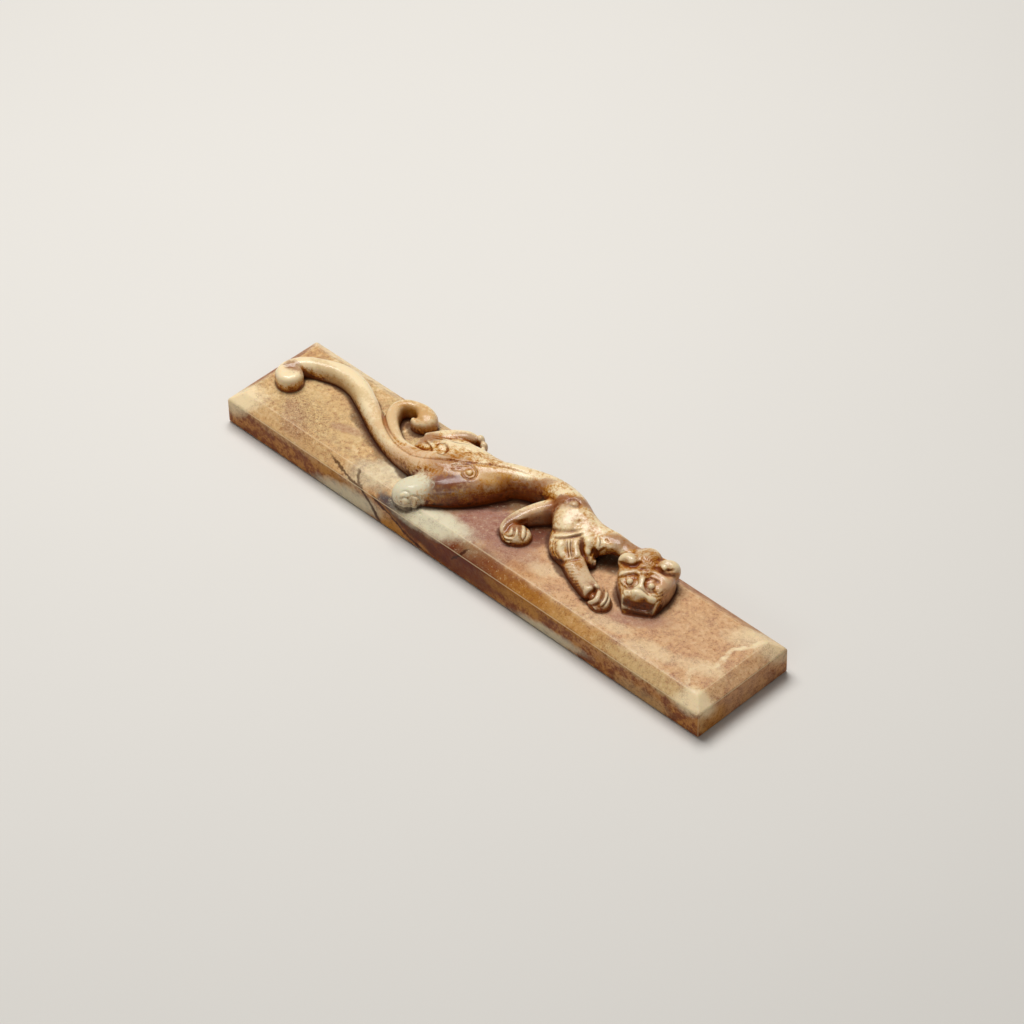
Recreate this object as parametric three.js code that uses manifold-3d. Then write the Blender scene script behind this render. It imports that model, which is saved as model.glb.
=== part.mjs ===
import * as THREE from "three";
import { mergeVertices } from "three/addons/utils/BufferGeometryUtils.js";
import Module from "manifold-3d";

const wasm = await Module();
wasm.setup();

// The bar, in millimetres: a slab with a sloped margin round its top. X runs along it, head end first.
const LENGTH = 220;
const WIDTH = 42;
const SIDE = 9.8;
const MARGIN_RUN = 4.6;
const MARGIN_RISE = 3.2;
const TOP = SIDE + MARGIN_RISE;
const ARRIS = 0.7;

// The carving: every height below is measured from the flat top of the bar
const SUNK = 0.42;
const SQUARE = 2.5;
const CAP_RINGS = 3;

// The curled tip of the tail: a spiral that closes in on its centre
const SCROLL = { x: -97.2, y: -2.7, near: 2.2, far: 9.8, from: 205, to: 76, close: 50, half: 3.2, high: 6 };

// The head looks along a line that is turned this far from the length of the bar
const HEAD = { x: 65.6, y: -2.8, turn: -60 };

const solid = (geometry) => {
  const bare = new THREE.BufferGeometry();
  bare.setAttribute("position", geometry.getAttribute("position"));
  bare.setIndex(geometry.index);
  const merged = mergeVertices(bare, 1e-4);
  return new wasm.Manifold(
    new wasm.Mesh({
      numProp: 3,
      vertProperties: new Float32Array(merged.getAttribute("position").array),
      triVerts: new Uint32Array(merged.index.array),
    }),
  );
};

// One profile of the slab, extruded straight: upright side, sloped margin and flat top, with eased arrises
const slab = (half, reach, turn) => {
  const slope = Math.hypot(MARGIN_RUN, MARGIN_RISE);
  const run = (ARRIS * MARGIN_RUN) / slope;
  const rise = (ARRIS * MARGIN_RISE) / slope;
  const shape = new THREE.Shape();
  shape.moveTo(0, 0);
  shape.lineTo(half - ARRIS, 0);
  shape.quadraticCurveTo(half, 0, half, ARRIS);
  shape.lineTo(half, SIDE - ARRIS);
  shape.quadraticCurveTo(half, SIDE, half - run, SIDE + rise);
  shape.lineTo(half - MARGIN_RUN + run, TOP - rise);
  shape.quadraticCurveTo(half - MARGIN_RUN, TOP, half - MARGIN_RUN - ARRIS, TOP);
  shape.lineTo(0, TOP);
  const right = shape.getPoints(3).slice(1, -1);
  const left = right.map((p) => new THREE.Vector2(-p.x, p.y)).reverse();
  const outline = new THREE.Shape([...right, ...left]);
  const geometry = new THREE.ExtrudeGeometry(outline, { depth: 2 * reach, bevelEnabled: false });
  geometry.translate(0, 0, -reach);
  geometry.rotateX(Math.PI / 2);
  geometry.rotateZ(turn);
  return solid(mergeVertices(geometry.deleteAttribute("normal").deleteAttribute("uv"), 1e-4));
};

// A limb: a round-ended lathe bent along a spine. A station is x, y, crown height, half width and, where the
// limb isn't sunk into the bar, the height of its underside.
const limb = (stations, { sides = 12, steps = 16, square = SQUARE } = {}) => {
  const full = stations.map(([x, y, high, half, low = -SUNK * high]) => ({ x, y, high, half, low }));
  const spine = new THREE.CatmullRomCurve3(
    full.map((s) => new THREE.Vector3(s.x, s.y, TOP + (s.high + s.low) / 2)),
  );
  const sizes = new THREE.CatmullRomCurve3(
    full.map((s) => new THREE.Vector3(s.half, (s.high - s.low) / 2, 0)),
  );
  const length = spine.getLength();
  const first = Math.min(full[0].half, length / 3);
  const last = Math.min(full.at(-1).half, length / 3);
  const rings = [];
  for (let k = 0; k < CAP_RINGS; k++) {
    const a = (k / CAP_RINGS) * (Math.PI / 2);
    rings.push(new THREE.Vector2(Math.sin(a), first * (1 - Math.cos(a))));
  }
  for (let k = 0; k <= steps; k++) {
    rings.push(new THREE.Vector2(1, first + ((length - first - last) * k) / steps));
  }
  for (let k = CAP_RINGS - 1; k >= 0; k--) {
    const a = (k / CAP_RINGS) * (Math.PI / 2);
    rings.push(new THREE.Vector2(Math.sin(a), length - last * (1 - Math.cos(a))));
  }
  const geometry = new THREE.LatheGeometry(rings, sides);
  const at = geometry.getAttribute("position");
  for (let i = 0; i < at.count; i++) {
    const t = spine.getUtoTmapping(THREE.MathUtils.clamp(at.getY(i) / length, 0, 1));
    const along = spine.getTangent(t);
    const across = new THREE.Vector3(along.y, -along.x, 0).normalize();
    const up = across.clone().cross(along);
    const size = sizes.getPoint(t);
    const radius = Math.hypot(at.getX(i), at.getZ(i));
    const c = radius ? at.getX(i) / radius : 0;
    const s = radius ? at.getZ(i) / radius : 0;
    const swell = radius ? (Math.abs(c) ** square + Math.abs(s) ** square) ** (-1 / square) : 0;
    const p = spine.getPoint(t);
    p.addScaledVector(across, c * radius * swell * size.x);
    p.addScaledVector(up, s * radius * swell * size.y);
    at.setXYZ(i, p.x, p.y, p.z);
  }
  return solid(geometry);
};

// An egg-shaped knob, squared a little, its first half size along the direction that turn gives in degrees
const knob = (x, y, z, a, b, c, turn = 0, sides = 10) => {
  const geometry = new THREE.SphereGeometry(1, sides, Math.round(sides * 0.7));
  geometry.rotateX(Math.PI / 2);
  const at = geometry.getAttribute("position");
  for (let i = 0; i < at.count; i++) {
    const wide = Math.hypot(at.getX(i), at.getY(i));
    const swell = (wide ** SQUARE + Math.abs(at.getZ(i)) ** SQUARE) ** (-1 / SQUARE);
    at.setXYZ(i, at.getX(i) * swell, at.getY(i) * swell, at.getZ(i) * swell);
  }
  geometry.scale(a, b, c);
  geometry.rotateZ(THREE.MathUtils.degToRad(turn));
  geometry.translate(x, y, TOP + z);
  return solid(geometry);
};

const scroll = [];
for (let k = 0; k <= 4; k++) {
  const angle = THREE.MathUtils.lerp(SCROLL.from, SCROLL.to, k / 4);
  const radius = SCROLL.near + (SCROLL.far - SCROLL.near) * Math.exp((SCROLL.to - angle) / SCROLL.close);
  const a = THREE.MathUtils.degToRad(angle);
  scroll.push([
    SCROLL.x + radius * Math.cos(a),
    SCROLL.y + radius * Math.sin(a),
    SCROLL.high,
    SCROLL.half,
  ]);
}

// The back: tail, rump, loin, withers and neck in one sinuous limb
const back = limb(
  [
    ...scroll,
    [-86, 10.3, 6, 3.6],
    [-77.5, 9.9, 6, 3.6],
    [-69, 6.4, 5.9, 3.5],
    [-60.5, 2, 5.6, 3.2],
    [-52.5, -1.5, 5.4, 3],
    [-44.5, -3.7, 5.6, 3.2],
    [-36, -4, 7, 4],
    [-27, -2, 9.2, 6.4],
    [-18, 2.4, 10.4, 7.4],
    [-10, 7.8, 9.8, 6.2],
    [-2.5, 13, 9, 5],
    [5, 15.6, 9.4, 4.5],
    [12.5, 15.8, 10.4, 4.8],
    [20.4, 13.6, 10.8, 5.2],
    [27.6, 11, 9.6, 4.4],
    [34.5, 10.8, 8.2, 3.4],
    [42, 12.3, 8.5, 2.9],
    [54, 13.4, 9.2, 4],
  ],
  { sides: 12, steps: 72 },
);

// The tip of the tail closes into a coil
const coil = knob(SCROLL.x, SCROLL.y, 1.5, 5.2, 5.2, 4.6, 0, 14);

// The second tail parts from the first on its far side and rolls up into a bulb
const fork = limb(
  [
    [-34, -1.4, 6.6, 1.8],
    [-44, -1.2, 5.6, 1.8],
    [-51, 1.2, 5.8, 2.3],
    [-57.2, 5.4, 6, 2.8],
    [-60.2, 10.2, 6, 2.6],
    [-57.6, 14.2, 6, 2.4],
    [-52.6, 15.6, 6, 2.6],
    [-48.6, 14.4, 6, 2.8],
    [-46.4, 11.6, 5.6, 2.8],
  ],
  { sides: 10, steps: 28 },
);
const bulb = knob(-47.6, 12.7, 1.5, 4, 4, 4.5, 0, 12);

const nearHaunch = limb(
  [
    [-5, 7.4, 7.2, 3.2],
    [-11.2, 1.2, 8.8, 5.6],
    [-17.4, -4.6, 9, 6.8],
    [-22.6, -9.4, 7.4, 6.2],
    [-26.4, -13.2, 5.8, 5.4],
    [-28.6, -16.4, 3.6, 4.6, -5],
  ],
  { sides: 14, steps: 12 },
);
const nearPaw = knob(-27, -14.2, 0.4, 6.2, 5.6, 5.2, 40, 14);
const farHaunch = limb(
  [
    [-11, 10.4, 8.2, 4],
    [-21.5, 8.2, 9.2, 5.4],
    [-30, 5.4, 8.2, 5.2],
    [-41.6, 5, 5, 4.4],
  ],
  { sides: 12, steps: 10 },
);
const farShin = limb(
  [
    [-41, 6.8, 4.8, 3],
    [-36, 12.2, 5.4, 3],
    [-31, 16.6, 5.6, 2.8, -3],
    [-27, 19.4, 4.6, 2.4, -3],
  ],
  { sides: 10, steps: 8 },
);
const farToes = [
  knob(-26.4, 19, 1.6, 2.2, 1.4, 2.6, 30, 8),
  knob(-25.6, 16.8, 1.4, 2.2, 1.4, 2.4, 10, 8),
];

// Three curled toes roll over the front of the near hind paw
const nearToes = [];
for (let k = 0; k < 3; k++) {
  nearToes.push(
    limb(
      [
        [-30.8 + 3.3 * k, -14.6 - 0.8 * k, 4.4 - 0.1 * k, 1.5, -2],
        [-29.8 + 3.1 * k, -17.4 - 0.8 * k, 2.2 - 0.3 * k, 1.7, -3.4],
        [-28.4 + 2.7 * k, -19 - 0.3 * k, -0.4, 1.3, -3.8],
      ],
      { sides: 6, steps: 4 },
    ),
  );
}

const rearArm = limb(
  [
    [19.6, 14, 8.6, 3.2],
    [14.8, 9.8, 7.6, 3.2],
    [10.8, 4.8, 6, 2.8],
    [8.8, -0.4, 4.8, 2.7],
    [9.2, -4.6, 4, 2.8],
    [13.4, -6.6, 3.2, 3],
  ],
  { sides: 10, steps: 14 },
);
const rearPaw = knob(13, -4.5, 0.4, 5.2, 4.4, 3.8, 25, 12);
const rearKnuckles = [];
for (let k = 0; k < 3; k++) {
  rearKnuckles.push(
    limb(
      [
        [10.8 + 2.2 * k, -2.4 + 0.9 * k, 4.1, 0.9, 1],
        [11.4 + 2.3 * k, -5 + 0.8 * k, 4.3, 1.1, 1],
        [12 + 2.4 * k, -7.6 + 0.9 * k, 2.2, 1, 0],
      ],
      { sides: 6, steps: 3 },
    ),
  );
}

const foreArm = limb(
  [
    [17, 15, 8.6, 3.6],
    [22.4, 10.4, 10, 5.4],
    [26.4, 7, 9.4, 5.8],
    [31, 3.4, 7, 5.4],
  ],
  { sides: 12, steps: 5 },
);
const elbow = limb(
  [
    [26.4, 6.4, 6.6, 6.4],
    [31, 2.8, 7, 7.2],
    [37.4, -1.6, 4.8, 4.4],
  ],
  { sides: 14, steps: 6 },
);

// Locks of fur lie side by side over the elbow and sweep towards the paw
const locks = [];
for (let k = 0; k < 5; k++) {
  const out = (k - 2) / 2;
  const crown = 7.2 - 2.8 * out * out;
  locks.push(
    limb(
      [
        [27.8 + 3.6 * out, 5.4 + 4.6 * out, crown, 1.1, crown - 2.6],
        [31.6 + 4 * out, 2.2 + 4.8 * out, crown + 0.4, 1.5, crown - 2.8],
        [35.8 + 2.6 * out, -1.2 + 3.4 * out, crown - 1.4, 1, crown - 3.6],
      ],
      { sides: 6, steps: 4 },
    ),
  );
}
const wrist = limb(
  [
    [32, 1.4, 5, 3.8],
    [38.4, -2.8, 4.8, 3.7],
    [44.4, -5.6, 4.5, 3.4],
    [49.6, -7.6, 4.6, 3.2],
    [54.4, -8.8, 4, 3.4],
  ],
  { sides: 10, steps: 8 },
);
const frontPaw = knob(54.4, -8.4, 0.2, 4.4, 3.8, 3.8, -20, 12);
const claws = [];
for (let k = 0; k < 3; k++) {
  claws.push(
    limb(
      [
        [52.8 + 1.9 * k, -5 + 0.1 * k, 3.9 - 0.5 * k, 0.9, 0],
        [54.2 + 1.9 * k, -8, 4.3 - 0.6 * k, 1.1, 0],
        [53.4 + 1.9 * k, -11.2, 2.4 - 0.4 * k, 1, -1],
      ],
      { sides: 6, steps: 4 },
    ),
  );
}

// Places on the head: forward from the lip along its line of sight, and aside, the far side being positive
const facing = THREE.MathUtils.degToRad(HEAD.turn);
const onHead = (forward, aside) => [
  HEAD.x + forward * Math.cos(facing) - aside * Math.sin(facing),
  HEAD.y + forward * Math.sin(facing) + aside * Math.cos(facing),
];
const skull = limb(
  [
    [...onHead(-18, 0.2), 8, 7.6],
    [...onHead(-13.4, 0), 8.8, 9.4],
    [...onHead(-8.6, 0), 8.2, 8.6],
    [...onHead(-4, 0), 6.8, 6.8],
    [...onHead(1.8, 0), 5.4, 5.6],
  ],
  { sides: 16, steps: 9, square: 3.4 },
);
const nose = knob(...onHead(-1.8, 0.6), 5, 2.4, 4.4, 2.2, HEAD.turn + 8, 10);
const bridge = limb(
  [
    [...onHead(-12, 0), 9.4, 1.8, 5],
    [...onHead(-6, 0), 8.8, 1.5, 4],
    [...onHead(-1.4, 0), 7.6, 2.4, 3],
  ],
  { sides: 8, steps: 4 },
);
const features = [];
for (const aside of [-1, 1]) {
  features.push(knob(...onHead(-6.4, 3.7 * aside), 6.8, 1.9, 1.9, 2, HEAD.turn, 10));
  features.push(
    limb(
      [
        [...onHead(-6.2, 1.4 * aside), 8.8, 0.9, 5],
        [...onHead(-8.8, 3.6 * aside), 9.4, 1.1, 5],
        [...onHead(-8, 7 * aside), 8.2, 1, 4],
      ],
      { sides: 6, steps: 5 },
    ),
  );
  const ear = limb(
    [
      [...onHead(-9.6, 5.6 * aside), 8.4, 2.4, 2],
      [...onHead(-13.2, 6.8 * aside), 10.2, 3.6, 2],
      [...onHead(-17, 7.2 * aside), 9.2, 2.6, 2],
    ],
    { sides: 10, steps: 6 },
  );
  const hollow = knob(...onHead(-12.8, 6.6 * aside), 10.8, 2.4, 1.8, 1.5, HEAD.turn + 14 * aside, 8);
  features.push(ear.subtract(hollow));
}

// The mane falls from between the ears on to the neck in combed locks
const mane = [];
for (let k = 0; k < 4; k++) {
  const out = (k - 1.5) / 1.5;
  mane.push(
    limb(
      [
        [...onHead(-12, 2.2 * out), 9.8 - 0.4 * out * out, 0.9, 5],
        [...onHead(-15.6, 3 * out - 0.8), 10.4 - 0.6 * out * out, 1.2, 5],
        [...onHead(-19.4, 2.8 * out - 2.6), 8.8 - 0.5 * out * out, 1, 5],
      ],
      { sides: 6, steps: 5 },
    ),
  );
}

const bar = slab(WIDTH / 2, LENGTH, Math.PI / 2).intersect(slab(LENGTH / 2, LENGTH, 0));
const carving = [
  back,
  coil,
  fork,
  bulb,
  nearHaunch,
  nearPaw,
  ...nearToes,
  farHaunch,
  farShin,
  ...farToes,
  rearArm,
  rearPaw,
  ...rearKnuckles,
  foreArm,
  elbow,
  ...locks,
  wrist,
  frontPaw,
  ...claws,
  skull,
  nose,
  bridge,
  ...features,
  ...mane,
];
const stone = carving.reduce((whole, piece) => whole.add(piece), bar);

const skin = stone.getMesh();
const geometry = new THREE.BufferGeometry();
geometry.setAttribute("position", new THREE.BufferAttribute(skin.vertProperties, 3));
geometry.setIndex(new THREE.BufferAttribute(skin.triVerts, 1));
geometry.computeVertexNormals();
const jade = new THREE.MeshStandardMaterial({ name: "jade", color: 0xc2a273, roughness: 0.3, metalness: 0 });
const weight = new THREE.Mesh(geometry, jade);
weight.name = "jade_scroll_weight";

const group = new THREE.Group();
group.name = "scroll_weight";
group.add(weight);

export default group;
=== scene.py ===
"""A jade scroll weight: a bar with sloped margins and a crawling hornless dragon carved on its top.

The stone is worked out as distances to its surface on a grid of points, in millimetres, and skinned
where the distance is nought. Heights of the carving are measured from the flat top of the bar."""

import math

import bpy
import numpy as np
from bpy.props import FloatProperty, FloatVectorProperty, IntProperty, PointerProperty
from mathutils import Matrix, Vector


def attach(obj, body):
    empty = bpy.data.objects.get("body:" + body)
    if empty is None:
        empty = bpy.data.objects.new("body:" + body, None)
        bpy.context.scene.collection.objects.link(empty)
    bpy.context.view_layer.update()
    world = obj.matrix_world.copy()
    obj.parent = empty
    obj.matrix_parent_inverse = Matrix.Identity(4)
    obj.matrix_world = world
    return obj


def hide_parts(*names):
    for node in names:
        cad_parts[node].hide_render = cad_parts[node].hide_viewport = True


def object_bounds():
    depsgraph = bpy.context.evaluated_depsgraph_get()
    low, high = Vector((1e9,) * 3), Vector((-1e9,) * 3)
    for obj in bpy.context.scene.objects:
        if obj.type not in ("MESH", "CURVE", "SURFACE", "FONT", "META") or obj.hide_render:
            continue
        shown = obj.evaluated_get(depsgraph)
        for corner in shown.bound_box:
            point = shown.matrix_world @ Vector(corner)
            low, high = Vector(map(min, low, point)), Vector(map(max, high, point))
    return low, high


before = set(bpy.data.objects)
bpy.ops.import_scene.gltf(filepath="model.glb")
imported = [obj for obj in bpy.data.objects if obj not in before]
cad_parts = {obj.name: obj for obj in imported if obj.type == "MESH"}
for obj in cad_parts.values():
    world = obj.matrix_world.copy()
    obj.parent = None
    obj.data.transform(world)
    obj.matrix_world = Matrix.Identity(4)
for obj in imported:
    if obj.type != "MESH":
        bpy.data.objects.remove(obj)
CAD_BOX = [list(corner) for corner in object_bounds()]

bl_info = {
    "name": "Jade scroll weight",
    "version": (1, 0, 0),
    "blender": (4, 5, 0),
    "location": "3D View > Sidebar > Scroll weight",
    "description": "Carves a jade scroll weight with a crawling dragon and sets it on a pale floor",
    "category": "Add Mesh",
}

NODE = "jade_scroll_weight"
MM = 0.001
ATTRIBUTES = ("fullness", "broad_fullness", "ink", "up")

# In millimetres: the room that the grid leaves round the stone and above the bar, a distance well off the
# stone, the heights that a ray is followed between and its step, the half width of the widest line that holds
# ink, and the two reaches of fullness
MARGIN, HEADROOM = 1.6, 11
FAR_OFF = 6
RAY_HEIGHTS, RAY_STEP = (11.5, -6), 0.1
INKED = 0.48
FULLNESS_REACHES = (1, 4)

# The eye that the incised work is laid out from, in millimetres, and the way it looks
EYE = np.array([760.314, -731.694, 982.024])
LOOK = (-0.52854, 0.51306, -0.67632)
ROLL = -1.439
LENS, SENSOR = 152.59, 36

# The stage, in metres: how far the floor and the sight reach, and the place, width and height of each light
FLOOR_REACH, FLOOR_DROP, CLIP_END = 4.0, 0.0003, 20
LIGHTS = {"key": ((-0.3, 0.15, 0.95), 0.6, 0.5), "front": ((0.4, -0.8, 0.5), 0.6, 0.2)}

# Stations of a limb: x, y, height of the crown, half width and, where it isn't sunk by rule, the underside
SUNK = 0.42

# The tail's scroll: its middle, least and greatest radius, first and last angle, the angle in which it closes,
# and the crown and half width of the limb
SCROLL = {
    "x": -97.2, "y": -2.7, "near": 2.2, "far": 9.8, "start": 190, "end": 76, "close": 50,
    "crown": 6, "half": 3.2,
}

# The animal's limbs
BACK = [
    (-86, 10.3, 6, 3.6), (-77.5, 9.9, 6, 3.6), (-69, 6.4, 5.9, 3.5), (-60.5, 2, 5.6, 3.2),
    (-52.5, -1.5, 5.4, 3), (-44.5, -3.7, 5.6, 3.2), (-36, -4, 7, 4), (-27, -2, 9.2, 6.4),
    (-18, 2.4, 10.4, 7.4), (-10, 7.8, 9.8, 6.2), (-2.5, 13, 9, 5), (5, 15.6, 9.4, 4.5),
    (12.5, 15.8, 10.4, 4.9), (20.4, 14, 11, 5.7), (27.6, 11.8, 10, 5.1), (34.5, 11.4, 8.6, 3.9, -1),
    (42, 12.2, 8.2, 3.2, 2.4), (49, 12.2, 7.4, 3.4, 2), (56, 13, 8.4, 4),
]
FORK = [
    (-34, -1.4, 6.6, 1.8), (-44, -1.2, 5.6, 1.8), (-50.6, 1.4, 5.8, 2.2), (-56, 5.4, 6, 2.5),
    (-58.3, 10, 6, 2.4), (-57, 13.5, 6, 2.2), (-53, 15.2, 6, 2.2), (-49.6, 15, 6, 3), (-47, 13.2, 5.8, 3.7),
    (-48.6, 10.6, 4.6, 2), (-51.2, 10.4, 4, 0.9),
]
NEAR_HAUNCH = [
    (-5, 7.4, 7.2, 3.2), (-11.2, 1.2, 8.8, 5.6), (-17.4, -4.6, 9, 6.8), (-22.6, -9.4, 7.4, 6.2),
    (-26.4, -13.2, 5.8, 5.4), (-28, -15.4, 3.6, 4.6, -5),
]
FAR_HAUNCH = [(-11, 10.4, 8.2, 4), (-21.5, 8.2, 9.2, 5.4), (-30, 5.4, 8.2, 5.2), (-39.6, 5, 5, 4.4)]
FAR_SHIN = [(-40, 7.4, 4.8, 3), (-36, 12.2, 5.4, 3), (-31.6, 16, 5.6, 2.7, -3), (-29.4, 17.4, 4.8, 2.2, -3)]
FAR_FLANK = [(-37, 7.6, 4.8, 3), (-30, 11.4, 5.4, 3.6), (-25, 12.4, 5.8, 3)]
REAR_ARM = [
    (19.6, 14, 8.6, 3.2), (14.8, 9.8, 7.6, 3.2), (10.8, 4.8, 6, 2.8), (8.8, -0.4, 4.8, 2.7),
    (9.2, -4.6, 4, 2.8), (12.4, -6, 3.2, 2.8),
]
FORE_ARM = [(17, 15, 8.6, 3.6), (22.4, 10.4, 10, 5.4), (26.4, 7, 9.4, 5.8), (30, 4.2, 7, 5.4)]
TUFT = [(26.4, 6.4, 6.6, 6.4), (31, 2.8, 7, 7.2), (36, -0.6, 4.8, 4.8)]
CHEST = [(32, 7.6, 8.8, 4.2, -2), (36.6, 7.2, 8.2, 3.8, 0), (40.4, 9, 8, 3, 2.4), (44.6, 11.6, 8, 2.4, 3.4)]
SIDE_LOCK = [(31.4, 7.6, 7.4, 3), (36.4, 4.4, 6.4, 2.8), (40.6, 2.4, 3.6, 1.6)]
WRIST = [(32, 1.4, 5.3, 4), (38.4, -2.8, 5.1, 3.7), (44.4, -5.6, 4.9, 3.2), (50.4, -7.6, 5, 3)]

# The head looks along a line turned from the length of the bar; its stations run along and across that line
HEAD = {"x": 65.6, "y": -2.8, "turn": -60}
SKULL = [
    (-17, 0.3, 8, 7.8), (-13.4, 0.5, 8.8, 9.5), (-8.6, 0.7, 8.4, 8.9), (-4, 0.8, 7.3, 7.1),
    (0, 0.7, 6.2, 5.5), (3, 0.6, 5, 4.8),
]
MUZZLE = {"ahead": -0.4, "height": 5.4, "lean": 25}
NOSE = {"middle": (-2.6, 0.4), "cushion": (5.2, 2, 4.2, 2.2), "turn": 8}
NOSE_RIDGE = [(-12, 0, 9.4, 2.4, 5), (-6, 0, 8.8, 1.8, 4), (-2, 0, 7.6, 2.6, 3)]
MANE = [(-13, 0.6, 10, 3.8, 4), (-17, -0.4, 10.4, 4.8, 4), (-20, -1.4, 9, 4.2, 4)]

# Cushions: x, y, height of the middle, half length, half width, half height and turn
SCROLL_DRUM = (-97.4, -3.1, 1.2, 4.8, 4.8, 4.8, 0)
HIND_PAW = (-27, -14.2, 0.4, 6.2, 5.6, 5.2, 40)
REAR_FIST = (13, -4.5, 0.4, 5.2, 4.4, 3.8, 25)
FORE_PAW = (54.6, -8.2, 0.2, 4.4, 3.8, 3.9, -20)
FAR_TOES = [
    (-27.2, 18.9, 2.6, 1.6, 1.6, 2.56, 0), (-24.8, 18.1, 1.9, 1.4, 1.4, 2.24, 0),
    (-23.6, 16.2, 1.5, 1.2, 1.2, 1.92, 0),
]
EARS = [(53.6, 7, 6.6, 4.3, 3.2, 4, 12), (64.6, 13, 6.6, 4.3, 3.3, 4, 43)]

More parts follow.
